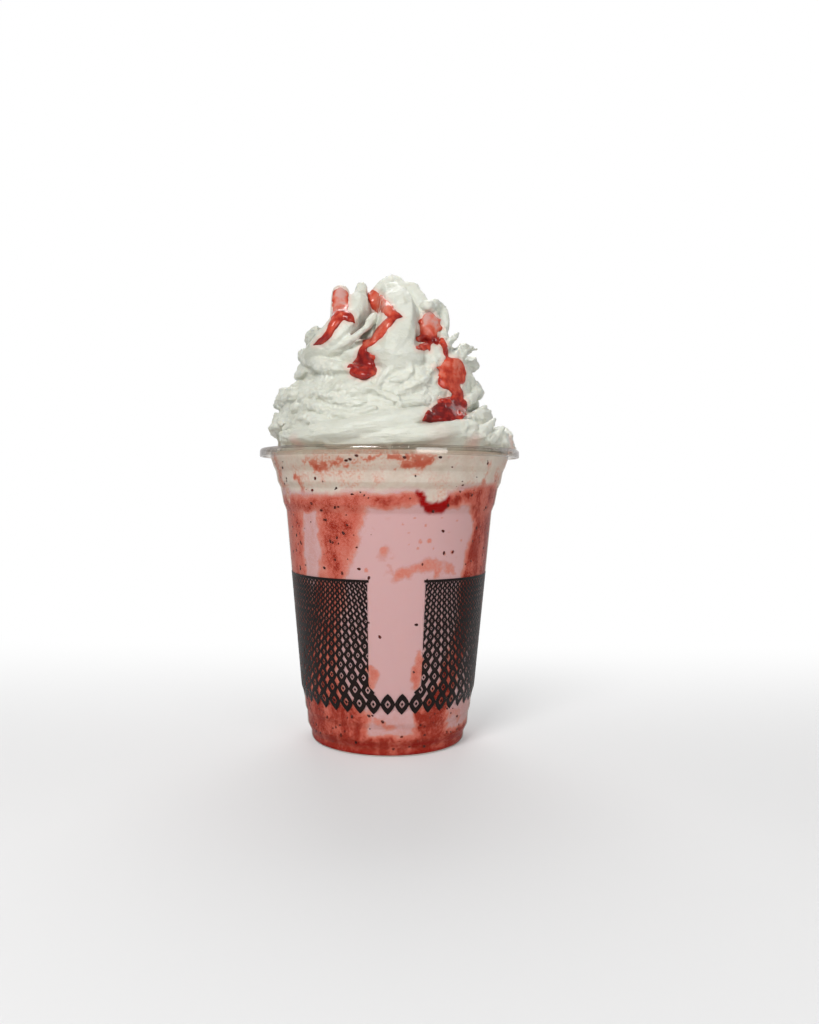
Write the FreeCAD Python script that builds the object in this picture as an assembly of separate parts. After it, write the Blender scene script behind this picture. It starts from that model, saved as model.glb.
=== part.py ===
"""Strawberry milkshake in a clear takeaway cup, under a piped mound of whipped cream.

Frame: +Z up, origin at the centre of the foot on the table, millimetres. The clear window
of the printed wall faces -Y. Each sub-part is one solid, written to parts/NODE.step.
"""
import FreeCAD
import Part
import math
import os

Vec = FreeCAD.Vector

# ---- cup: thermoformed clear plastic ----
cup_height = 108.6
rim_radius = 49.0
rim_overhang = 4.0          # from the mouth's outer face to the lip's outer face
rim_height = 3.2
lip_round = 1.3
lip_curl = 1.2              # how far the lip's outer edge turns back in
wall = 0.5
foot_radius = 28.8
foot_land = 1.2             # width of the ring that stands on the table
foot_corner = 1.6
base_recess = 1.6           # the floor's underside above the table
recess_slope = 1.4

# Wall bands as (rise, widening): from the foot up to the printed wall...
lower_bands = [
    (3.0, 0.1),             # foot ring
    (2.9, 1.4),             # foot step
    (4.5, 0.35),
    (1.8, 0.65),
    (4.8, 0.45),
    (3.0, 1.0),             # shoulder under the print
]
# ...and from the rim down to the printed wall.
upper_bands = [
    (3.5, 1.15),            # collar under the lip
    (1.9, 0.9),             # top step
    (3.8, 0.7),
    (2.2, 1.1),             # middle step
    (5.6, 1.05),
    (2.9, 1.15),            # stacking step
]
band_round = 0.5            # rounding where one band meets the next

# ---- what is in the cup ----
fill_drop = 2.6             # from the rim's top down to the cream's level in the mouth
cream_depth = 16.4          # cream inside the cup
sauce_layer_depth = 6.0
sauce_pool_depth = 3.2
layer_wave = 1.7            # height of the waves between layers
pool_wave = 0.5

# ---- the piped mound, a half-ellipsoid on the cream's level that the rows below reshape ----
mouth_clearance = 0.5       # between the mound's foot and the cup's wall
mound_height = 69.0
# (elevation in degrees, share of the half-ellipsoid on the -X side, share on the +X side)
mound_rows = [
    (0.0, 1.0, 1.0), (2.5, 0.96, 1.0), (5.0, 0.965, 1.08), (10.0, 1.02, 0.93), (20.0, 0.985, 0.81),
    (30.0, 0.90, 0.86), (40.0, 0.96, 0.92), (50.0, 0.95, 0.88), (60.0, 0.965, 0.885),
    (70.0, 0.95, 0.88), (80.0, 0.945, 0.92), (90.0, 0.975, 0.975),
]
turn_depth = 0.06           # depth of the spiral groove between two turns of the rope, as a share
groove_start, groove_climb, groove_slowing = -4.0, 25.0, 1.6
tooth_count = 7             # ridges that the star nozzle leaves
tooth_depth = 0.026
tooth_twist = 2.6
# Peaks where the nozzle pulled off: (bearing, elevation, height as a share, spread in degrees).
peaks = [
    (-70.0, 88.0, 0.025, 5.0),
    (-160.0, 75.5, 0.07, 4.5),
    (-164.0, 62.0, 0.085, 4.4),
    (-20.0, 77.0, 0.06, 4.5),
    (-12.0, 62.0, 0.04, 5.0),
]
sectors = 72
ring_step = 3.0             # degrees of elevation between rings

# ---- strawberry sauce run over the mound ----
sauce_seat = 0.45           # gap between a sauce run and the cream, along the ray from the mound's foot
sauce_edge = 0.35
run_steps, run_lanes = 30, 6
# Each run: (bearing, elevation, width, thickness) down its centreline.
sauce_runs = {
    "left": [
        (-154.0, 63.0, 4.6, 0.9), (-142.0, 57.0, 6.2, 1.3), (-137.0, 52.5, 6.0, 1.3),
        (-134.0, 47.0, 4.0, 1.1), (-134.0, 42.5, 3.2, 1.0), (-145.0, 36.5, 2.2, 0.8),
    ],
    "front": [
        (-120.0, 70.5, 3.4, 1.0), (-98.0, 58.5, 4.4, 1.4), (-88.0, 51.0, 5.4, 1.5),
        (-96.0, 43.0, 4.4, 1.4), (-107.0, 36.5, 4.0, 1.5), (-107.0, 32.5, 6.6, 1.8),
        (-105.0, 27.0, 7.8, 2.4), (-104.0, 22.5, 5.6, 2.0),
    ],
    "right": [
        (-49.0, 60.0, 5.2, 0.9), (-50.0, 53.0, 7.8, 1.3), (-57.0, 43.5, 5.6, 1.3),
        (-52.0, 37.0, 3.2, 1.1), (-48.0, 31.5, 8.4, 1.4), (-48.0, 27.0, 8.6, 1.4),
        (-46.0, 22.5, 4.2, 1.3), (-50.0, 17.5, 9.5, 1.9), (-59.0, 13.0, 14.0, 2.2),
        (-60.0, 10.5, 12.0, 1.8),
    ],
}

rim_floor = cup_height - rim_height
mouth_radius = rim_radius - rim_overhang
fill_level = cup_height - fill_drop
floor_top = base_recess + wall
mound_radius = mouth_radius - wall - mouth_clearance
mound_foot = Vec(0, 0, fill_level)


def stacked(start_radius, start_height, bands, way):
    """Corner points of wall bands, upwards from the foot (way 1) or downwards from the mouth (way -1)."""
    radius, height = start_radius, start_height
    corners = [(radius, height)]
    for rise, widening in bands:
        radius += way * widening
        height += way * rise
        corners.append((radius, height))
    return corners


def wall_corners():
    """Outer corners of the wall, from the foot's side to the mouth under the lip."""
    lower = stacked(foot_radius, 0.0, lower_bands, 1)
    upper = stacked(mouth_radius, rim_floor, upper_bands, -1)
    return lower[1:] + upper[::-1]


def rounded(corners):
    """Edges through (radius, height, rounding) corners in the XZ plane, with arcs at the rounded ones."""
    points = [Vec(r, 0, z) for r, z, rounding in corners]
    edges = []
    last = points[0]
    for i in range(1, len(points) - 1):
        corner, rounding = points[i], corners[i][2]
        back, on = points[i - 1] - corner, points[i + 1] - corner
        half = back.getAngle(on) / 2
        start = end = corner
        if rounding > 0 and half < math.radians(89.5):
            setback = min(rounding / math.tan(half), 0.45 * min(back.Length, on.Length))
            back.normalize()
            on.normalize()
            start, end = corner + back * setback, corner + on * setback
            radius = setback * math.tan(half)
            middle = corner + (back + on).normalize() * (radius / math.sin(half) - radius)
        edges.append(Part.LineSegment(last, start).toShape())
        if start != end:
            edges.append(Part.Arc(start, middle, end).toShape())
        last = end
    edges.append(Part.LineSegment(last, points[-1]).toShape())
    return edges


def turned(edges):
    """Solid of revolution about Z of a closed outline."""
    face = Part.Face(Part.Wire(edges))
    return face.revolve(Vec(0, 0, 0), Vec(0, 0, 1), 360)


def inner_corners():
    """Corners inside the cup, from the edge of its floor up to the mouth."""
    inside = [(r - wall, z, band_round) for r, z in wall_corners()]
    return [(foot_radius - wall, floor_top, foot_corner)] + inside


def make_cup():
    """The shell: foot ring, recessed floor, stepped wall and a rolled lip."""
    land_outer = foot_radius - foot_corner
    land_inner = land_outer - foot_land
    corners = [(0.0, base_recess, 0.0), (land_inner - recess_slope, base_recess, band_round),
               (land_inner, 0.0, band_round), (foot_radius, 0.0, foot_corner)]
    corners += [(r, z, band_round) for r, z in wall_corners()[:-1]]
    under, curl = cup_height - wall, rim_radius - lip_curl
    corners += [(mouth_radius, rim_floor, band_round),
                (mouth_radius, under, lip_round - wall),
                (rim_radius - wall, under, lip_round - wall),
                (rim_radius - wall, rim_floor + wall, 0.0),
                (curl, rim_floor + wall, 0.0),
                (curl, rim_floor, 0.0),
                (rim_radius, rim_floor, wall),
                (rim_radius, cup_height, lip_round),
                (mouth_radius - wall, cup_height, lip_round)]
    corners += inner_corners()[::-1]
    corners += [(0.0, floor_top, 0.0), (0.0, base_recess, 0.0)]
    return turned(rounded(corners))


def make_contents():
    """Everything inside the cup up to the fill level, as one solid that meets the wall."""
    corners = [(0.0, floor_top, 0.0)] + inner_corners()
    corners += [(mouth_radius - wall, fill_level, 0.0), (0.0, fill_level, 0.0), (0.0, floor_top, 0.0)]
    return turned(rounded(corners))


def below(level, wave, turns):
    """Solid under a wavy surface, larger than the cup, for parting two layers."""
    reach = rim_radius * 1.3
    count = 15
    rows = []
    for i in range(count):
        x = reach * (2 * i / (count - 1) - 1)
        row = []
        for j in range(count):
            y = reach * (2 * j / (count - 1) - 1)
            bearing = math.atan2(y, x)
            swell = min(1.0, math.hypot(x, y) / foot_radius)
            swing = 0.6 * math.sin(turns * bearing) + 0.4 * math.cos(2 * turns * bearing + 1)
            row.append(Vec(x, y, level + wave * swell * swing))
        rows.append(row)
    sheet = Part.BSplineSurface()
    sheet.interpolate(rows)
    return sheet.toShape().extrude(Vec(0, 0, -2 * cup_height))


def smooth(x):
    x = min(1.0, max(0.0, x))
    return x * x * (3 - 2 * x)


def outward(bearing, elevation):
    """From the mound's foot centre to the plain half-ellipsoid."""
    b, e = math.radians(bearing), math.radians(elevation)
    flat = mound_radius * math.cos(e)
    return Vec(flat * math.cos(b), flat * math.sin(b), mound_height * math.sin(e))


def aim_of(point):
    """Bearing and elevation of a point seen from the mound's foot centre."""
    x, y, z = point - mound_foot
    elevation = math.atan2(z / mound_height, math.hypot(x, y) / mound_radius)
    return math.degrees(math.atan2(y, x)), math.degrees(elevation)


def row_share(bearing, elevation):
    """Share of the half-ellipsoid between the listed rows, blended round from -X to +X."""
    right = (1 + math.cos(math.radians(bearing))) / 2
    for (low, low_left, low_right), (high, high_left, high_right) in zip(mound_rows, mound_rows[1:]):
        if elevation <= high:
            u = smooth((elevation - low) / (high - low))
            return (low_left + u * (high_left - low_left)) * (1 - right) \
                + (low_right + u * (high_right - low_right)) * right


def groove_share(bearing, elevation):
    """What the spiral groove takes away: nothing on a turn's crest, most between two turns."""
    inside = groove_climb ** 2 - 4 * groove_slowing * (elevation - groove_start)
    turns = (groove_climb - math.sqrt(max(0.0, inside))) / (2 * groove_slowing)
    on_turn = (turns - bearing / 360) % 1
    crest = math.sqrt(max(0.0, 1 - (2 * on_turn - 1) ** 2))
    return turn_depth * (1 - crest) * smooth((elevation - 4) / 14) * smooth((80 - elevation) / 12)


def mound_share(bearing, elevation):
    share = row_share(bearing, elevation) - groove_share(bearing, elevation)
    tooth = math.cos(math.radians(tooth_count * (bearing + tooth_twist * elevation)))
    share += tooth_depth * tooth * smooth((elevation - 22) / 16) * smooth((88 - elevation) / 18)
    aim = outward(bearing, elevation)
    for peak_bearing, peak_elevation, height, spread in peaks:
        apart = math.degrees(aim.getAngle(outward(peak_bearing, peak_elevation)))
        share += height * math.exp(-0.5 * (apart / spread) ** 2)
    return share


def mound_rings():
    """Rings of skin points from the mound's foot upwards; the last is the top alone."""
    rings = []
    for i in range(round(90 / ring_step)):
        elevation = i * ring_step
        ring = []
        for j in range(sectors):
            bearing = j * 360 / sectors
            share = mound_share(bearing, elevation) if i > 0 else 1.0
            ring.append(mound_foot + outward(bearing, elevation) * share)
        rings.append(ring)
    return rings, mound_foot + outward(0, 90) * mound_share(0, 90)


def solid_of(triangles, others=()):
    """One solid bounded by flat triangles and any other faces."""
    faces = [Part.Face(Part.makePolygon([a, b, c, a])) for a, b, c in triangles]
    solid = Part.Solid(Part.Shell(faces + list(others)))
    if solid.Volume < 0:
        solid.reverse()
    return solid


def make_mound(rings, top):
    """The faceted mound on a flat polygon at the cream's level."""
    triangles = []
    for low, high in zip(rings, rings[1:]):
        for j in range(sectors):
            k = (j + 1) % sectors
            triangles += [(low[j], low[k], high[k]), (low[j], high[k], high[j])]
    for j in range(sectors):
        triangles.append((rings[-1][j], rings[-1][(j + 1) % sectors], top))
    base = Part.Face(Part.makePolygon(rings[0] + [rings[0][0]]))
    return solid_of(triangles, [base])


def on_facets(bearing, elevation, rings):
    """Where a ray from the mound's foot centre meets its flat triangles."""
    aim = outward(bearing, elevation)
    row = min(int(elevation / ring_step), len(rings) - 2)
    j = int((bearing % 360) * sectors / 360) % sectors
    k = (j + 1) % sectors
    best, best_depth = None, -math.inf
    for i in (row - 1, row, row + 1):
        if not 0 <= i < len(rings) - 1:
            continue
        for a, b, c in ((rings[i][j], rings[i][k], rings[i + 1][k]),
                        (rings[i][j], rings[i + 1][k], rings[i + 1][j])):
            normal = (b - a).cross(c - a)
            hit = mound_foot + aim * ((a - mound_foot).dot(normal) / aim.dot(normal))
            depth = min((q - p).cross(hit - p).dot(normal) for p, q in ((a, b), (b, c), (c, a)))
            depth /= normal.Length ** 2
            if depth > best_depth:
                best, best_depth = hit, depth
    return best


def station_at(stations, t):
    """Station values at a share t of the run, smoothly between the listed ones."""
    place = t * (len(stations) - 1)
    i = min(int(place), len(stations) - 2)
    near = [stations[max(0, i - 1)], stations[i], stations[i + 1], stations[min(len(stations) - 1, i + 2)]]
    u = place - i
    weights = (0.5 * (-u + 2 * u * u - u ** 3), 0.5 * (2 - 5 * u * u + 3 * u ** 3),
               0.5 * (u + 4 * u * u - 3 * u ** 3), 0.5 * (u ** 3 - u * u))
    return [sum(w * s[k] for w, s in zip(weights, near)) for k in range(4)]


def run_spots(stations, rings):
    """Points on the facets under a run, at half steps and half lanes, with the dome's height over each."""
    spots = []
    for i in range(2 * run_steps + 1):
        t = i / (2 * run_steps)
        bearing, elevation, width, thickness = station_at(stations, t)
        ahead, behind = station_at(stations, min(1.0, t + 0.02)), station_at(stations, max(0.0, t - 0.02))
        centre = outward(bearing, elevation)
        side = centre.cross(outward(*ahead[:2]) - outward(*behind[:2])).normalize()
        end = min(1.0, min(t, 1 - t) * run_steps / 4)
        rounding = math.sqrt(0.1 + 0.9 * end * (2 - end))
        seat = on_facets(bearing, elevation, rings)
        row = []
        for lane in range(2 * run_lanes + 1):
            v = lane / run_lanes - 1
            under = on_facets(*aim_of(seat + side * (v * rounding * width / 2)), rings)
            row.append((under - mound_foot, thickness * rounding * math.sqrt(max(0.0, 1 - v * v))))
        spots.append(row)
    return spots


def lift_over_ridges(spots, i, j):
    """How far the straight edges of the run's underside from one spot would cut into the facets."""
    lift = 0.0
    for di in (-1, 0, 1):
        for dj in (-1, 0, 1):
            if 0 <= i + 2 * di < len(spots) and 0 <= j + 2 * dj < len(spots[0]):
                ends = (spots[i][j][0].Length + spots[i + 2 * di][j + 2 * dj][0].Length) / 2
                lift = max(lift, spots[i + di][j + dj][0].Length - ends)
    return lift


def run_rows(stations, rings):
    """Lower and upper rows of points across a sauce run, from its top end to its bottom end."""
    spots = run_spots(stations, rings)
    low, high = [], []
    for i in range(0, len(spots), 2):
        low_row, high_row = [], []
        for j in range(0, len(spots[0]), 2):
            under, dome = spots[i][j]
            reach = under.Length + sauce_seat + lift_over_ridges(spots, i, j)
            low_row.append(mound_foot + under * (reach / under.Length))
            high_row.append(mound_foot + under * ((reach + sauce_edge + dome) / under.Length))
        low.append(low_row)
        high.append(high_row)
    return low, high


def make_run(stations, rings):
    """A sauce run: a domed ribbon that lies on the mound's facets, with rounded ends."""
    low, high = run_rows(stations, rings)
    quads = []
    for i in range(run_steps):
        for j in range(run_lanes):
            quads.append((high[i][j], high[i][j + 1], high[i + 1][j + 1], high[i + 1][j]))
            quads.append((low[i][j + 1], low[i][j], low[i + 1][j], low[i + 1][j + 1]))
        quads.append((low[i][0], high[i][0], high[i + 1][0], low[i + 1][0]))
        quads.append((high[i][-1], low[i][-1], low[i + 1][-1], high[i + 1][-1]))
    for j in range(run_lanes):
        quads.append((high[0][j + 1], high[0][j], low[0][j], low[0][j + 1]))
        quads.append((high[-1][j], high[-1][j + 1], low[-1][j + 1], low[-1][j]))
    return solid_of([t for a, b, c, d in quads for t in ((a, b, c), (a, c, d))])


def save(name, shape):
    solids = shape.Solids
    assert shape.isValid() and len(solids) == 1, (name, len(solids), shape.isValid())
    solid = solids[0]
    solid.exportStep("parts/" + name + ".step")
    print(f"{name}: {solid.Volume / 1000:.2f} ml, {len(solid.Faces)} faces")


def main():
    os.makedirs("parts", exist_ok=True)
    save("cup", make_cup())

    contents = make_contents()
    pool_top = below(floor_top + sauce_pool_depth, pool_wave, 3)
    layer_floor = below(fill_level - cream_depth - sauce_layer_depth, layer_wave, 4)
    cream_floor = below(fill_level - cream_depth, layer_wave, 5)
    save("sauce_pool", contents.common(pool_top))
    save("milkshake", contents.common(layer_floor).cut(pool_top))
    save("sauce_layer", contents.common(cream_floor).cut(layer_floor))

    rings, top = mound_rings()
    in_cup = contents.cut(cream_floor)
    save("whipped_cream", in_cup.fuse(make_mound(rings, top)).removeSplitter())

    for name, stations in sauce_runs.items():
        save("sauce_run_" + name, make_run(stations, rings))


main()
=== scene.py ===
import bmesh, bpy, math, random
import numpy as np
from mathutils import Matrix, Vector, noise
from mathutils.bvhtree import BVHTree


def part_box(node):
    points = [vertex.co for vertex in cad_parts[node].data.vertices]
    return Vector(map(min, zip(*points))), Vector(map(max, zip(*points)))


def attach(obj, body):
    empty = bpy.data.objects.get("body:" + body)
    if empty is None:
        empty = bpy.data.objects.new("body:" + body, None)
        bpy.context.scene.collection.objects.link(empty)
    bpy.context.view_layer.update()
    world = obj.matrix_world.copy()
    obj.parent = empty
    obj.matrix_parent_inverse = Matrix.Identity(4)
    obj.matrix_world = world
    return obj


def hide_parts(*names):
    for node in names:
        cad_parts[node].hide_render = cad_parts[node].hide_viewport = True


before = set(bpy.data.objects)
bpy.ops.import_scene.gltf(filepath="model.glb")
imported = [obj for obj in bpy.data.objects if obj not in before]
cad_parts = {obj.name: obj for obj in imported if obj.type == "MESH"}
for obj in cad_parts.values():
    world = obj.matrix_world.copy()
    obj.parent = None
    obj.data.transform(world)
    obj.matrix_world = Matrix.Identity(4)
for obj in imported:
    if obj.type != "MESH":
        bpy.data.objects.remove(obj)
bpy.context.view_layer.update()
mm = 0.001
noise.seed_set(1)                               # noise_vector takes its seed from the clock otherwise
scene = bpy.context.scene
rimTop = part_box("cup")[1].z
fillLevel = rimTop - 2.6 * mm                   # where the cream meets the cup's rim
print("frame loaded, cup", round(rimTop * 1000, 1), "mm high")


def linearColour(hexCode):
    channels = [int(hexCode[i:i + 2], 16) / 255 for i in (1, 3, 5)]
    return tuple(c / 12.92 if c <= 0.04045 else ((c + 0.055) / 1.055) ** 2.4 for c in channels) + (1.0,)


def addNode(tree, kind, settings=None, links=None):
    # Settings name a socket or a property; links name a socket or a node, which gives its first output.
    node = tree.nodes.new("ShaderNode" + kind)
    for name, value in (settings or {}).items():
        if name == "stops":                     # colour ramp: [(position, hex), ...]
            ramp = node.color_ramp
            while len(ramp.elements) < len(value):
                ramp.elements.new(0.5)
            for element, (position, code) in zip(ramp.elements, value):
                element.position, element.color = position, linearColour(code)
        elif isinstance(name, int) or name in node.inputs:
            socket = node.inputs[name]
            socket.default_value = linearColour(value) if isinstance(value, str) else value
        else:
            setattr(node, name, value)
    for name, source in (links or {}).items():
        tree.links.new(source.outputs[0] if isinstance(source, bpy.types.Node) else source, node.inputs[name])
    return node


def startMaterial(name):
    material = bpy.data.materials.new(name)
    material.use_nodes = True
    material.node_tree.nodes.clear()
    return material, material.node_tree


def newPiece(name, verts, faces, material, smooth=True):
    mesh = bpy.data.meshes.new(name)
    mesh.from_pydata([tuple(v) for v in verts], [], [tuple(f) for f in faces])
    mesh.validate()
    mesh.update()
    piece = bpy.data.objects.new(name, mesh)
    scene.collection.objects.link(piece)
    if material:
        mesh.materials.append(material)
    mesh.polygons.foreach_set("use_smooth", [smooth] * len(mesh.polygons))
    return piece


def applyModifiers(piece):
    bpy.context.view_layer.update()
    evaluated = piece.evaluated_get(bpy.context.evaluated_depsgraph_get())
    mesh = bpy.data.meshes.new_from_object(evaluated)
    piece.modifiers.clear()
    piece.data = mesh
    mesh.polygons.foreach_set("use_smooth", [True] * len(mesh.polygons))


def remesh(piece, voxel, rounds):
    modifier = piece.modifiers.new("remesh", "REMESH")
    modifier.mode, modifier.voxel_size = "VOXEL", voxel
    soften = piece.modifiers.new("soften", "SMOOTH")
    soften.factor, soften.iterations = 0.5, rounds
    applyModifiers(piece)


def keepLargest(piece):
    # Drops the loose crumbs and closed bubbles that a remesh leaves.
    bm = bmesh.new()
    bm.from_mesh(piece.data)
    parts = []
    for seed in bm.verts:
        if seed.tag:
            continue
        seed.tag = True
        part, waiting = [], [seed]
        while waiting:
            v = waiting.pop()
            part.append(v)
            for e in v.link_edges:
                other = e.other_vert(v)
                if not other.tag:
                    other.tag = True
                    waiting.append(other)
        parts.append(part)
    biggest = max(parts, key=len)
    bmesh.ops.delete(bm, geom=[v for part in parts if part is not biggest for v in part], context="VERTS")
    bm.to_mesh(piece.data)
    bm.free()


def coordinates(mesh):
    co = np.zeros(len(mesh.vertices) * 3)
    mesh.vertices.foreach_get("co", co)
    return co.reshape(-1, 3)


def storeAmount(mesh, name, values):
    attribute = mesh.attributes.new(name, "FLOAT", "POINT")
    attribute.data.foreach_set("value", np.clip(values, 0, 1).astype(np.float32))


def smoothStep(low, high, x):
    t = np.clip((x - low) / (high - low), 0, 1)
    return t * t * (3 - 2 * t)


def gridFaces(rows, columns, start=0):
    # Quads between rows of corners; the last column meets the first.
    quads = []
    for low in range(start, start + (rows - 1) * columns, columns):
        for j in range(columns):
            k = (j + 1) % columns
            quads.append((low + j, low + k, low + columns + k, low + columns + j))
    return quads


def treeOf(mesh):
    return BVHTree.FromPolygons([v.co for v in mesh.vertices], [p.vertices for p in mesh.polygons])


camera = {
    "distance": 332.0, "height": 95.2,          # mm from the cup's axis and above the table
    "lens": 30.55, "roll": 0.4,                 # mm on a 36 mm long side; degrees
    "shiftX": 0.0198, "shiftY": -0.0264,
}
lens = bpy.data.cameras.new("camera")
lens.lens, lens.sensor_width = camera["lens"], 36
lens.shift_x, lens.shift_y = camera["shiftX"], camera["shiftY"]
lens.clip_start, lens.clip_end = 0.01, 20
cameraObject = bpy.data.objects.new("camera", lens)
cameraObject.location = (0, -camera["distance"] * mm, camera["height"] * mm)
cameraObject.rotation_euler = (math.radians(90), math.radians(-camera["roll"]), 0)
scene.collection.objects.link(cameraObject)
scene.camera = cameraObject


cupLook = {
    # The colour for the wall's steps is painted shade, darker than the sheet.
    "tint": "#f8f8f7", "tintEdge": "#d6cfc9", "wallStepShade": "#efece8",
    "tintRim": "#f6f4f1", "tintLip": "#8f827b",
    "wallGloss": (0.006, 0.2), "rimGloss": (0.05, 0.6),         # seen square on, seen edge on
    "roughness": 0.07, "ripple": 26.0, "rippleDepth": 0.2,      # ripple in mm
}

# Thermoformed clear PET sheet: thin and clear where it lies against the drink, brighter in its rolled rim,
# with slow ripples from the forming.
clearPet, tree = startMaterial("thermoformedClearPet")
place = addNode(tree, "TexCoord").outputs["Object"]
ripple = addNode(tree, "TexNoise", {"Scale": 1000 / cupLook["ripple"], "Detail": 2.0}, {"Vector": place})
bump = addNode(tree, "Bump", {"Strength": cupLook["rippleDepth"], "Distance": 0.0008}, {"Height": ripple})
heightHere = addNode(tree, "SeparateXYZ", {}, {"Vector": place}).outputs["Z"]
inRim = addNode(tree, "MapRange", {"From Min": rimTop - 4 * mm, "From Max": rimTop - 2.8 * mm},
                {"Value": heightHere})
headOn = addNode(tree, "MapRange", {"To Min": cupLook["wallGloss"][0], "To Max": cupLook["rimGloss"][0]},
                 {"Value": inRim})
edgeOn = addNode(tree, "MapRange", {"To Min": cupLook["wallGloss"][1], "To Max": cupLook["rimGloss"][1]},
                 {"Value": inRim})
facing = addNode(tree, "LayerWeight", {"Blend": 0.5}, {"Normal": bump}).outputs["Facing"]
steep = addNode(tree, "Math", {"operation": "POWER", 1: 5.0}, {0: facing})
edge = addNode(tree, "Math", {"operation": "MULTIPLY_ADD"}, {0: steep, 1: edgeOn, 2: headOn})
through = addNode(tree, "ValToRGB", {"stops": [(0.5, cupLook["tint"]), (1.0, cupLook["tintEdge"])]},
                  {"Fac": facing})
throughRim = addNode(tree, "ValToRGB", {"stops": [(0.6, cupLook["tintRim"]), (1.0, cupLook["tintLip"])]},
                     {"Fac": facing})
throughBoth = addNode(tree, "Mix", {"data_type": "RGBA"}, {0: inRim, 6: through, 7: throughRim}).outputs[2]
# Painted shade: the steps of the wall show as thin darker rings, painted into the colour seen through the
# sheet where it leans.
wayOut = addNode(tree, "NewGeometry").outputs["Normal"]
lean = addNode(tree, "SeparateXYZ", {}, {"Vector": wayOut}).outputs["Z"]
leanAmount = addNode(tree, "Math", {"operation": "ABSOLUTE"}, {0: lean})
wallStepShadeAmount = addNode(tree, "MapRange", {"From Min": 0.25, "From Max": 0.6}, {"Value": leanAmount})
wallStepShadeBelowRim = addNode(tree, "Math", {"operation": "SUBTRACT", "use_clamp": True}, {0: wallStepShadeAmount, 1: inRim})
throughAll = addNode(tree, "Mix", {"data_type": "RGBA", 7: cupLook["wallStepShade"]},
                     {0: wallStepShadeBelowRim, 6: throughBoth}).outputs[2]
clear = addNode(tree, "BsdfTransparent", {}, {"Color": throughAll})
gloss = addNode(tree, "BsdfGlossy", {"Color": "#ffffff", "Roughness": cupLook["roughness"]}, {"Normal": bump})
sheet = addNode(tree, "MixShader", {}, {0: edge, 1: clear, 2: gloss})
addNode(tree, "OutputMaterial", {}, {"Surface": sheet})

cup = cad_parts["cup"]
cup.data.materials.clear()
cup.data.materials.append(clearPet)
cupTree = treeOf(cup.data)


def innerRadius(z):
    return cupTree.ray_cast(Vector((0, 0, z)), Vector((1, 0, 0)))[0].x


def outerRadius(z):
    return cupTree.ray_cast(Vector((0.2, 0, z)), Vector((-1, 0, 0)))[0].x


print("cup finished")


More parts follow.
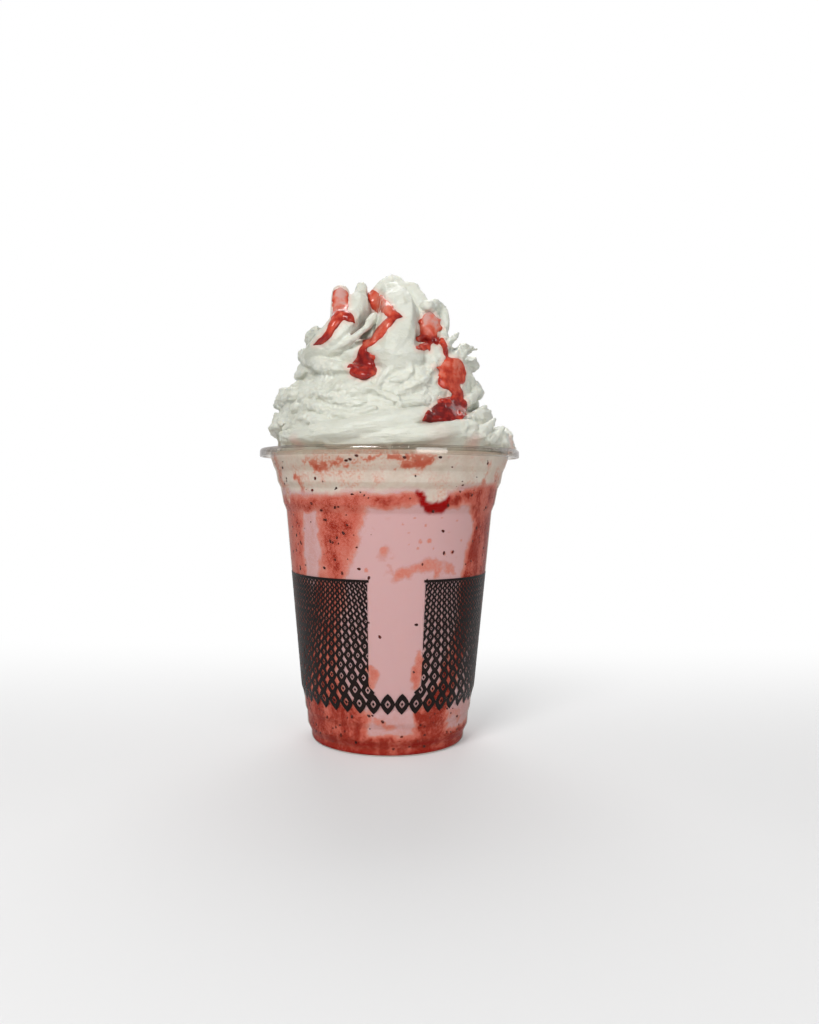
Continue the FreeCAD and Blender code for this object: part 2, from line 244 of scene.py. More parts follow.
# Sauce, cream and shake as they lie against the wall.
# Places are bearings from the front in degrees and heights in mm.
filling = {
    "top": rimTop - 1.6 * mm, "floor": 1.85 * mm, "foot": 0.55 * mm, "intoWall": 0.25 * mm,
    "sectors": 480, "rowStep": 0.56 * mm,
    "soft": 9.0, "fine": 2.4, "drift": 22.0, "streak": 3.4,  # mm, the wander in edges and tones
    "patches": [    # broad red areas: (strength, edge softness in mm, outline)
        (0.8, 2.6, [(-112, 92), (-70, 91.5), (-58, 90.5), (-53, 86), (-53.5, 80), (-54, 70), (-53, 62),
            (-50, 55), (-47, 45), (-46, 30), (-44, 18), (-42, 3), (-96, 3), (-118, 40), (-104, 62)]),
        (0.78, 3.0, [(-44, 92), (-11, 92.5), (-11.5, 88), (-13, 84), (-15.5, 79), (-17, 75), (-20, 70.5),
            (-23, 65), (-24.5, 60), (-27, 50), (-30, 40), (-32, 30), (-28, 23), (-18, 18), (-10, 16),
            (-13, 11), (-9, 5), (-60, 3), (-60, 30), (-56, 45), (-50, 56), (-43, 61.5), (-39.5, 66),
            (-38.5, 72), (-39.5, 80), (-41.5, 86), (-44, 88)]),
        (0.92, 2.4, [(31, 92.5), (40, 94), (50, 95), (60, 96), (75, 96), (112, 94), (120, 60), (98, 40),
            (82, 60), (66, 62), (61, 50), (56, 42), (51, 30), (47, 24), (43, 18), (42, 11), (45, 4), (17, 4),
            (18, 10), (19, 17), (24, 22), (34, 27), (38, 36), (43, 46), (45, 56), (44, 62), (47, 68),
            (50, 75), (52.5, 81), (50, 85.5), (44, 88), (36, 88.5), (31, 88)]),
        (0.8, 2.0, [(138, 92), (172, 93), (176, 70), (168, 45), (172, 20), (178, 4), (150, 4), (148, 24),
            (152, 48), (143, 68)]),
        (0.75, 2.0, [(196, 92), (218, 91), (214, 66), (222, 40), (216, 3), (196, 3), (203, 30), (199, 60)]),
    ],
    "smears": [     # (strength, [(bearing, height, width in mm), ...])
        (0.88, [(-118, 88.5, 6), (-60, 88.4, 6.5), (-44, 88.6, 6), (-30, 89, 6), (-14, 89.5, 6)]),
        (0.85, [(-16, 90, 5.5), (0, 89.8, 5.2), (8, 90.2, 5.2), (14, 90.4, 4.4)]),
        (0.9, [(104, 90, 5), (130, 89, 5.5), (165, 90, 4.5), (200, 89.5, 5.5), (250, 90, 5)]),
        (0.45, [(6, 65, 3.6), (14, 66.5, 3.6), (20, 67.5, 5), (26, 67.5, 5), (32, 66, 4), (38, 64.8, 3)]),
        (0.4, [(23, 69, 2.5), (26, 64, 3.5)]),
        (0.32, [(-4, 70.5, 4), (-1.5, 73, 3.4)]),
        (0.3, [(-1, 67, 3), (3, 64, 3)]),
        (0.55, [(-10.5, 32, 3.6), (-9, 26.5, 3)]),
        (0.6, [(17.5, 37, 2.6), (18.5, 31, 5), (16, 26, 3.6)]),
        (0.45, [(-8, 13.5, 3), (-2, 13, 2.6), (3, 11, 2.2)]),
        (0.35, [(46, 14, 4), (58, 11, 3)]),
        (0.2, [(-46, 62, 7), (-47, 84, 7)]),
    ],
    "pools": [      # the darkest, thickest sauce
        (1.0, [(13.4, 92.4, 2.0), (15.6, 89.8, 3.0), (20.5, 87.8, 3.8), (26.5, 87.7, 4.0), (30.6, 89.8, 2.8),
            (32, 91.4, 1.4)]),
    ],
    "stains": [     # thin sauce run down between cream and wall
        (0.75, [(-41, 103, 4.5), (-35, 101.5, 7), (-29, 102, 6), (-22, 103.5, 5)]),
        (0.6, [(-24, 99, 3.6), (-20, 102, 5), (-8, 104.3, 4)]),
        (0.85, [(-8, 104.5, 3.4), (0, 104.8, 3), (4, 103.2, 6), (8, 103, 8), (13, 103, 7), (19, 104.6, 4)]),
        (0.5, [(13, 100.6, 2.6), (18, 101.2, 3)]),
        (0.4, [(24, 104.4, 4), (36, 104.8, 3), (48, 104.2, 4)]),
        (0.75, [(53.5, 102, 3.4), (52, 97, 4), (50.5, 93, 4)]),
        (0.8, [(-51, 98.6, 3), (-48, 97.6, 3.4), (-47.2, 94, 3.2), (-48.5, 89, 4)]),
        (0.3, [(-84, 100, 13), (-62, 99, 11)]),
        (0.26, [(36, 98.5, 8), (60, 99.5, 10), (84, 100, 12)]),
        (0.35, [(3, 97, 2.6), (5, 93, 2.4)]),
        (0.7, [(100, 103, 6), (118, 101, 5), (135, 103.5, 6)]),
        (0.7, [(160, 103.5, 5), (181, 100, 6), (196, 103, 5)]),
        (0.7, [(224, 103, 6), (240, 99, 5), (262, 104, 5)]),
    ],
    "drops": [      # cream that hangs lower than its edge: (bearing, height, half width, half height)
        (23.4, 92.4, 4.8, 3.0), (-64.5, 91.7, 2.2, 3.2), (124, 91, 5, 3), (208, 91.5, 4, 3.5),
    ],
    "bubbles": [    # small round traces of sauce in the shake: (bearing, height, radius)
        (16.5, 76, 1.0), (21.5, 76.2, 1.0), (-2.8, 73, 1.5), (10, 79, 0.5), (13, 84, 0.5), (19, 81.5, 0.55),
        (28, 84, 0.45), (24, 73.5, 0.5), (15.2, 73.6, 0.7), (36, 72, 0.9), (31, 71.4, 0.7), (10.5, 75, 0.5),
        (-12, 66, 0.9), (33, 79, 0.5), (42, 76, 0.6), (7, 82, 0.45), (38, 83, 0.5),
    ],
    "creamEdge": [(-180, 92.5), (-140, 94.5), (-110, 91.5), (-74.6, 92.3), (-53.3, 92.5), (-41.3, 91.9),
        (-29.8, 92.3), (-19, 93.1), (-11.6, 93.5), (-8.3, 92.5), (-2.2, 92.0), (2.5, 93.2), (9.6, 93.9),
        (13.4, 93.6), (22.6, 92.6), (30.3, 92.3), (35.9, 94), (49.1, 95.4), (63.7, 96.5), (95, 93.5),
        (130, 95), (180, 92.5)],
}


def wrapped(degrees):
    return (degrees + 180) % 360 - 180


def toSegment(bearing, height, radius, start, end):
    # Distance in mm on the wall from every point to a line between two places, and how far along it.
    ax = np.radians(wrapped(bearing - start[0])) * radius
    az = height - start[1]
    dx, dz = np.radians(end[0] - start[0]) * radius, end[1] - start[1]
    t = np.clip((ax * dx + az * dz) / np.maximum(dx * dx + dz * dz, 1e-9), 0, 1)
    return np.hypot(ax - dx * t, az - dz * t), t


def smearAmount(bearing, height, radius, path, blur):
    best = np.full(bearing.shape, -1e9)
    for start, end in zip(path, path[1:]):
        away, t = toSegment(bearing, height, radius, start, end)
        half = (start[2] + (end[2] - start[2]) * t) / 2
        best = np.maximum(best, (half - away) / (np.maximum(half * 0.45, 0.9) + blur))
    return smoothStep(-1.1, 1.2, best)


def patchAmount(bearing, height, radius, soft, outline):
    middle = sum(b for b, z in outline) / len(outline)
    b = middle + wrapped(bearing - middle)
    inside = np.zeros(b.shape, bool)
    nearest = np.full(b.shape, 1e9)
    for (b0, z0), (b1, z1) in zip(outline, outline[1:] + outline[:1]):
        crosses = ((z0 > height) != (z1 > height)) & (b < b0 + (b1 - b0) * (height - z0) / (z1 - z0 + 1e-9))
        inside ^= crosses
        nearest = np.minimum(nearest, toSegment(bearing, height, radius, (b0, z0), (b1, z1))[0])
    return smoothStep(-soft, soft, np.where(inside, nearest, -nearest))


def wallNoise(points, scale, octaves, seed):
    shift = Vector((seed * 13.7, seed * 7.1, seed * 3.3))
    return np.array([noise.fractal(Vector(p) / scale + shift, 1.0, 2.0, octaves) for p in points])


print("filling: wall grid")
rowCount = int((filling["top"] - filling["foot"]) / filling["rowStep"]) + 1
rowHeights = np.linspace(filling["foot"], filling["top"], rowCount)
into = filling["intoWall"]
# Rows below 3.2 mm lie just inside the foot ring's outer face, where there is no filling; their colour is a
# painted stand-in for the red that the foot ring shows by refraction.
rowRadii = np.array([innerRadius(z) + into if z > 3.2 * mm else outerRadius(z) - into for z in rowHeights])
sectors = filling["sectors"]
angle = np.radians(np.linspace(-180, 180, sectors, endpoint=False) - 90)
xs = rowRadii[:, None] * np.cos(angle)[None, :]
ys = rowRadii[:, None] * np.sin(angle)[None, :]
zs = np.repeat(rowHeights[:, None], sectors, axis=1)
wallPoints = np.stack([xs, ys, zs], axis=-1).reshape(-1, 3)
verts = [tuple(p) for p in wallPoints]
faces = gridFaces(rowCount, sectors)
base = len(verts)
verts.append((0, 0, filling["floor"]))
verts.append((0, 0, rimTop - 3 * mm))
for j in range(sectors):
    k = (j + 1) % sectors
    faces.append((k, j, base))
    faces.append(((rowCount - 1) * sectors + j, (rowCount - 1) * sectors + k, base + 1))

bearing = np.degrees(np.arctan2(wallPoints[:, 1], wallPoints[:, 0])) + 90
height = wallPoints[:, 2] / mm
radius = np.hypot(wallPoints[:, 0], wallPoints[:, 1]) / mm
soft = wallNoise(wallPoints / mm, filling["soft"], 3, 1)
fine = wallNoise(wallPoints / mm, filling["fine"], 3, 2)
drift = wallNoise(wallPoints / mm, filling["drift"], 2, 3)
streak = wallNoise(wallPoints / mm * np.array([1, 1, 0.3]), filling["streak"], 3, 4)    # drawn out downwards
bentBearing = bearing + (soft * 1.5 + fine * 1.1 + streak * 0.8) / radius * 57.3
bentHeight = height + soft * 1.2 + fine * 1.0


def gathered(strokes, blur=0.0):
    total = np.zeros(len(bentBearing))
    for strength, path in strokes:
        total = np.maximum(total, strength * smearAmount(bentBearing, bentHeight, radius, path, blur))
    return total


sauceAmount = gathered(filling["smears"], 0.4)
for strength, edgeSoft, outline in filling["patches"]:
    patch = patchAmount(bentBearing, bentHeight, radius, edgeSoft, outline)
    sauceAmount = np.maximum(sauceAmount, strength * patch)
sauceAmount = np.maximum(sauceAmount, 0.85 * (1 - smoothStep(6.0, 9.5, bentHeight)))    # settled on the floor
sauceAmount *= np.clip(1 + 0.2 * streak + 0.18 * soft, 0.6, 1.25) + 0.14 * (1 - smoothStep(15, 24, height))
sauceAmount *= 1 - 0.09 * np.exp(-((height - 88) / 5) ** 2)
sauceAmount = np.maximum(sauceAmount, 0.22 * smoothStep(0.15, 0.6, drift + 0.4 * fine))
sauceAmount = np.maximum(sauceAmount, 0.2 * (1 - smoothStep(14, 20, height)))
for b, z, r in filling["bubbles"]:
    across = np.hypot(np.radians(wrapped(bearing - b)) * radius, height - z) / r
    sauceAmount = np.maximum(sauceAmount, 0.42 * (1 - smoothStep(0.7, 1.15, across)))
# Painted shade and refraction: a dark line at the foot ring's step and dark red in the foot ring, laid in
# with the thickest sauce's colour.
paintedFootStepShade = np.exp(-((height - 4.4) / 0.6) ** 2) * np.clip(0.7 + 0.8 * soft, 0, 1)
paintedFootRefraction = 0.8 * (1 - smoothStep(1.4, 2.6, height)) * np.clip(0.6 + 0.9 * soft, 0.2, 1)
thickSauceAndFootShadingAmount = np.maximum(1.4 * gathered(filling["pools"]), 0.8 * np.maximum(paintedFootStepShade, paintedFootRefraction))
stainAmount = gathered(filling["stains"], 1.8) * np.clip(0.95 + 0.5 * fine + 0.3 * soft, 0.3, 1.4)
veil = 0.42 * smoothStep(-0.4, 0.7, drift + 0.6 * soft) + 0.22 * smoothStep(50, 80, np.abs(wrapped(bearing)))
stainAmount = np.clip(np.maximum(stainAmount, veil), 0, 1)
edgeBearing, edgeHeight = zip(*filling["creamEdge"])
edgeLine = np.interp(wrapped(bearing), edgeBearing, edgeHeight) + soft * 1.0 + fine * 0.9
creamAmount = smoothStep(-1.5, 1.9, height - edgeLine)
for b, z, halfWidth, halfHeight in filling["drops"]:
    across = np.radians(wrapped(bentBearing - b)) * radius / halfWidth
    up = (bentHeight - z) / halfHeight
    creamAmount = np.maximum(creamAmount, 1 - smoothStep(0.75, 1.1, np.hypot(across, up)))

# Milkshake seen through the wall: opaque and milky, with sauce in it that is redder where it is thicker.
# The thickest sauce colour also paints the shade line and the refraction red at the foot ring.
fillingLook = {"shake": "#cda4a4", "shakeDeep": "#c89590", "sauceThin": "#cd8071", "sauce": "#c26050",
               "sauceStrong": "#963022", "sauceThickAndFootShading": "#960404", "cream": "#dad2c6", "creamShade": "#cdbfb1",
               "veil": "#d2b3a8", "stain": "#cf8a74", "stainDeep": "#bd5c48",
               "mottle": 4.0, "foam": 0.9}      # sizes in mm
shakeBody, tree = startMaterial("pouredMilkshakeAndSauce")
place = addNode(tree, "TexCoord").outputs["Object"]
mottle = addNode(tree, "TexNoise", {"Scale": 1000 / fillingLook["mottle"], "Detail": 5.0, "Roughness": 0.6},
                 {"Vector": place})
foam = addNode(tree, "TexNoise", {"Scale": 1000 / fillingLook["foam"], "Detail": 3.0}, {"Vector": place})
sauceHere, thickSauceAndFootShadingHere, creamHere, stainHere = (
    addNode(tree, "Attribute", {"attribute_name": amount}).outputs["Fac"]
    for amount in ("sauce", "pool", "cream", "stain"))
grain = addNode(tree, "Math", {"operation": "MULTIPLY_ADD", 1: 0.6, 2: -0.3}, {0: mottle})
grainFine = addNode(tree, "Math", {"operation": "MULTIPLY_ADD", 1: 0.5, 2: -0.25}, {0: foam})
grainBoth = addNode(tree, "Math", {"operation": "ADD"}, {0: grain, 1: grainFine})
uneven = addNode(tree, "Math", {"operation": "ADD"}, {0: sauceHere, 1: grainBoth})
isSauce = addNode(tree, "Math", {"operation": "MULTIPLY", 1: 3.0, "use_clamp": True}, {0: sauceHere})
kept = addNode(tree, "Math", {"operation": "MULTIPLY", "use_clamp": True}, {0: uneven, 1: isSauce})
redness = addNode(tree, "ValToRGB", {"stops": [
    (0.04, fillingLook["shake"]), (0.22, fillingLook["shakeDeep"]), (0.46, fillingLook["sauceThin"]),
    (0.8, fillingLook["sauce"]), (1.0, fillingLook["sauceStrong"])]}, {"Fac": kept})
creamTone = addNode(tree, "ValToRGB", {"stops": [
    (0.3, fillingLook["creamShade"]), (0.6, fillingLook["cream"])]}, {"Fac": mottle})
patchy = addNode(tree, "Math", {"operation": "MULTIPLY_ADD", 1: 3.4, 2: -3.9}, {0: mottle})
speck = addNode(tree, "Math", {"operation": "MULTIPLY_ADD", 1: 3.4}, {0: foam, 2: patchy})
speckled = addNode(tree, "Math", {"operation": "MULTIPLY_ADD", 1: 2.2, "use_clamp": True},
                   {0: stainHere, 2: speck})
share = addNode(tree, "Math", {"operation": "MULTIPLY_ADD", 1: 0.75, 2: 0.38}, {0: speckled})
stained = addNode(tree, "Math", {"operation": "MULTIPLY", "use_clamp": True}, {0: stainHere, 1: share})
stainTone = addNode(tree, "ValToRGB", {"stops": [
    (0.1, fillingLook["veil"]), (0.5, fillingLook["stain"]), (1.0, fillingLook["stainDeep"])]},
    {"Fac": stained})
stainCover = addNode(tree, "Math", {"operation": "MULTIPLY", 1: 1.5, "use_clamp": True}, {0: stained})
creamStained = addNode(tree, "Mix", {"data_type": "RGBA"},
                       {0: stainCover, 6: creamTone, 7: stainTone}).outputs[2]
layers = addNode(tree, "Mix", {"data_type": "RGBA"}, {0: creamHere, 6: redness, 7: creamStained}).outputs[2]
# Thick sauce, plus the painted dark line and refraction red of the foot ring.
withThickSauceAndFootShading = addNode(tree, "Mix", {"data_type": "RGBA", 7: fillingLook["sauceThickAndFootShading"]},
                 {0: thickSauceAndFootShadingHere, 6: layers}).outputs[2]
body = addNode(tree, "BsdfPrincipled", {"Roughness": 0.5, "IOR": 1.4, "Specular IOR Level": 0.05,
               "Subsurface Weight": 0.2, "Subsurface Radius": (0.003, 0.0012, 0.0008),
               "Subsurface Scale": 0.4},
               {"Base Color": withThickSauceAndFootShading})
addNode(tree, "OutputMaterial", {}, {"Surface": body})

cupFilling = newPiece("cupFilling", verts, faces, shakeBody)
for name, amount, middle in (("sauce", sauceAmount, 0), ("pool", thickSauceAndFootShadingAmount, 0), ("cream", creamAmount, 1),
                             ("stain", stainAmount, 0)):
    # The last two corners are the middles of its floor and its top.
    storeAmount(cupFilling.data, name, np.append(amount, [middle, middle]))
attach(cupFilling, "root")
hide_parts("milkshake", "sauce_layer", "sauce_pool")
print("filling finished,", len(faces), "faces")


seeds = {
    "count": 700, "length": 1.6, "width": 1.15, "colour": "#34110d", "colourPale": "#67261a",
    # bearings and heights of the ones nearest the front
    "placed": [(-14.3, 105), (-19.2, 103.4), (-17.4, 103.8), (-37.1, 97.4), (-40.9, 93.3), (-42.9, 88.7),
        (-27.9, 87.6), (-37, 86.4), (-34.9, 83), (-62.3, 101.4), (6.4, 104.5), (22.5, 104.7), (51.7, 103.2),
        (45.6, 91.9), (22.6, 86.5), (30.5, 88.5), (62.2, 87.5), (-12.1, 15.1), (-3.2, 13.2), (-43.9, 12.4),
        (4.3, 3.2), (-61.7, 76.9), (-57.2, 74.5), (-63.7, 71.4), (-24.3, 78.7), (-32.4, 75.7), (-25.8, 64.8),
        (-10.6, 63.5), (29.2, 79.5), (67.8, 72.4), (55.1, 80.1), (30.6, 71.9), (36.5, 72.1), (-16, 66.5),
        (15.9, 47.3), (-4.8, 43.2), (54, 12), (-23.5, 14.2), (-33, 6.9), (-21.9, 5.1), (26.5, 3.4),
        (-60.1, 64.7), (-37.5, 66.2)],
}
seedShell, tree = startMaterial("strawberrySeedHusk")      # small dark husks, with little shine of their own
place = addNode(tree, "TexCoord").outputs["Object"]
vary = addNode(tree, "TexNoise", {"Scale": 120.0}, {"Vector": place})
tone = addNode(tree, "ValToRGB", {"stops": [(0.4, seeds["colour"]), (0.65, seeds["colourPale"])]},
               {"Fac": vary})
husk = addNode(tree, "BsdfPrincipled", {"Roughness": 0.5, "Specular IOR Level": 0.15}, {"Base Color": tone})
addNode(tree, "OutputMaterial", {}, {"Surface": husk})


def seedShape(centre, outwards, turn, length, width):
    # A flattened oval of 26 corners lying on the wall.
    up = Vector((0, 0, 1))
    side = outwards.cross(up).normalized()
    long = (up * math.cos(turn) + side * math.sin(turn)).normalized()
    wide = outwards.cross(long).normalized()
    points, polygons = [], []
    for ring in range(1, 4):
        polar = math.pi * ring / 4
        for step in range(8):
            around = math.pi * step / 4
            pointed = 1 - 0.25 * math.cos(polar)        # one end narrower
            points.append(centre + long * (math.cos(polar) * length / 2)
                          + wide * (math.sin(polar) * math.cos(around) * width / 2 * pointed)
                          + outwards * (math.sin(polar) * math.sin(around) * width / 4))
    points += [centre + long * (length / 2), centre - long * (length / 2)]
    for step in range(8):
        n = (step + 1) % 8
        polygons.append((24, step, n))
        polygons.append((25, 16 + n, 16 + step))
        for ring in range(2):
            polygons.append((ring * 8 + step, ring * 8 + 8 + step, ring * 8 + 8 + n, ring * 8 + n))
    return points, polygons


rng = random.Random(5)
spots = [(b, z, 1.0) for b, z in seeds["placed"]]
lookup = sauceAmount.reshape(rowCount, sectors)
while len(spots) < seeds["count"]:
    b, z = rng.uniform(-180, 180), rng.uniform(3, 105)
    row = min(rowCount - 1, int((z * mm - filling["floor"]) / filling["rowStep"]))
    here = lookup[row, int((b + 180) / 360 * sectors) % sectors]
    if z > 95:
        here = 0.35
    if 18 < z < 62 and abs(b - 4.4) < 15:
        here *= 0.3
    if rng.random() < 0.08 + 0.75 * here and abs(b) > 8 or rng.random() < 0.02:
        spots.append((b, z, rng.uniform(0.35, 0.85)))
verts, faces = [], []
for b, z, size in spots:
    a = math.radians(b - 90)
    r = innerRadius(z * mm) + filling["intoWall"] - 0.1 * mm
    outwards = Vector((math.cos(a), math.sin(a), 0))
    centre = outwards * r + Vector((0, 0, z * mm))
    points, polygons = seedShape(centre, outwards, rng.uniform(0, math.pi), seeds["length"] * size * mm,
                                 seeds["width"] * size * mm)
    faces += [tuple(i + len(verts) for i in p) for p in polygons]
    verts += points
seedPiece = newPiece("strawberrySeeds", verts, faces, seedShell)
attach(seedPiece, "root")
print("seeds finished,", len(spots))


band = {
    "bottom": 17.2, "top": 62.6,                # mm above the table
    "windowCentre": 4.4, "windowHalf": 15.9, "windowFoot": 23.6, "windowCorner": 2.4,
    "smallest": 1.9, "largest": 5.6,            # lozenge width in mm, top row and bottom row
    "holeTop": 0.30, "holeBottom": 0.42,        # bare share of each lozenge's half width
    "heart": 0.46,                              # solid lozenge in the middle of the larger ones
    "proud": 0.03, "ink": "#120c0b", "inkPale": "#241a18", "press": 0.8,
}
# Flexo ink on the outside of the sheet: dense, nearly black, a little duller than the plastic.
printInk, tree = startMaterial("flexoBlackInk")
place = addNode(tree, "TexCoord").outputs["Object"]
press = addNode(tree, "TexNoise", {"Scale": 1000 / band["press"], "Detail": 2.0}, {"Vector": place})
inkTone = addNode(tree, "ValToRGB", {"stops": [(0.3, band["ink"]), (0.8, band["inkPale"])]}, {"Fac": press})
ink = addNode(tree, "BsdfPrincipled", {"Roughness": 0.45, "IOR": 1.5, "Specular IOR Level": 0.1},
              {"Base Color": inkTone})
addNode(tree, "OutputMaterial", {}, {"Surface": ink})

verts, faces = [], []


def bandPoint(degrees, z, lift):
    # Keeps a corner of the print off the bare window and inside the band.
    z = min(z, band["top"])
    off = wrapped(degrees - band["windowCentre"])
    r = outerRadius(z * mm)
    if z > band["windowFoot"] and abs(off) < band["windowHalf"]:
        over = z - band["windowFoot"]
        half = band["windowHalf"]
        if over < band["windowCorner"]:
            corner = band["windowCorner"]
            half -= math.degrees((corner - math.sqrt(max(0, corner ** 2 - (corner - over) ** 2))) * mm / r)
        if abs(off) < half:
            if over < (half - abs(off)) * math.radians(1) * r / mm:
                z = band["windowFoot"]
            else:
                off = math.copysign(half, off)
    a = math.radians(band["windowCentre"] + off - 90)
    r = outerRadius(z * mm) + (band["proud"] + lift) * mm
    return (r * math.cos(a), r * math.sin(a), z * mm)


turns = 360                                     # the print's straight upper edge
for step in range(turns):
    ends = [band["windowCentre"] + 180 + 360 * (step + side) / turns for side in (0, 1)]
    if all(abs(wrapped(e - band["windowCentre"])) < band["windowHalf"] for e in ends):
        continue
    start = len(verts)
    for z in (band["top"] - 0.7, band["top"] + 0.15):
        for e in ends:
            a = math.radians(e - 90)
            r = outerRadius(z * mm) + (band["proud"] + 0.008) * mm
            verts.append((r * math.cos(a), r * math.sin(a), z * mm))
    faces.append((start, start + 1, start + 3, start + 2))
rowTop = band["top"]
row = 0
while rowTop > band["bottom"] + 1.0:
    share = (band["top"] - rowTop) / (band["top"] - band["bottom"])
    width = band["smallest"] + (band["largest"] - band["smallest"]) * share ** 1.3
    tall = width * 1.15
    centre = rowTop - tall * 0.5
    r = outerRadius(centre * mm) / mm
    count = round(2 * math.pi * r / width)
    step = 360 / count
    hole = band["holeTop"] + (band["holeBottom"] - band["holeTop"]) * share ** 0.7
    for n in range(count):
        middle = (n + 0.5 * (row % 2)) * step
        off = wrapped(middle - band["windowCentre"])
        if centre > band["windowFoot"] and abs(off) < band["windowHalf"] - step * 0.45:
            continue
        ring = []
        for scale in (1.06, hole, band["heart"] * hole):
            for corner in range(12):
                t = math.pi * corner / 6
                sx, sz = math.cos(t), math.sin(t)
                # between a circle and a diamond
                squeeze = (abs(sx) ** 1.25 + abs(sz) ** 1.25) ** (1 / 1.25)
                ring.append(bandPoint(middle + sx / squeeze * scale * step * 0.5,
                                      centre + sz / squeeze * scale * tall * 0.62, 0.004 * (row % 2)))
        start = len(verts)
        verts += ring
        for corner in range(12):
            following = (corner + 1) % 12
            faces.append((start + corner, start + following, start + 12 + following, start + 12 + corner))
        if share > 0.25:
            faces.append(tuple(start + 24 + corner for corner in range(12)))
    rowTop -= tall * 0.86
    row += 1
printBand = newPiece("printBand", verts, faces, printInk, smooth=False)
bm = bmesh.new()                                # drops the faces squeezed flat along the window
bm.from_mesh(printBand.data)
bmesh.ops.dissolve_degenerate(bm, dist=0.002 * mm, edges=bm.edges)
bm.to_mesh(printBand.data)
bm.free()
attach(printBand, "root")
print("print finished,", len(faces), "faces in", row, "rows")


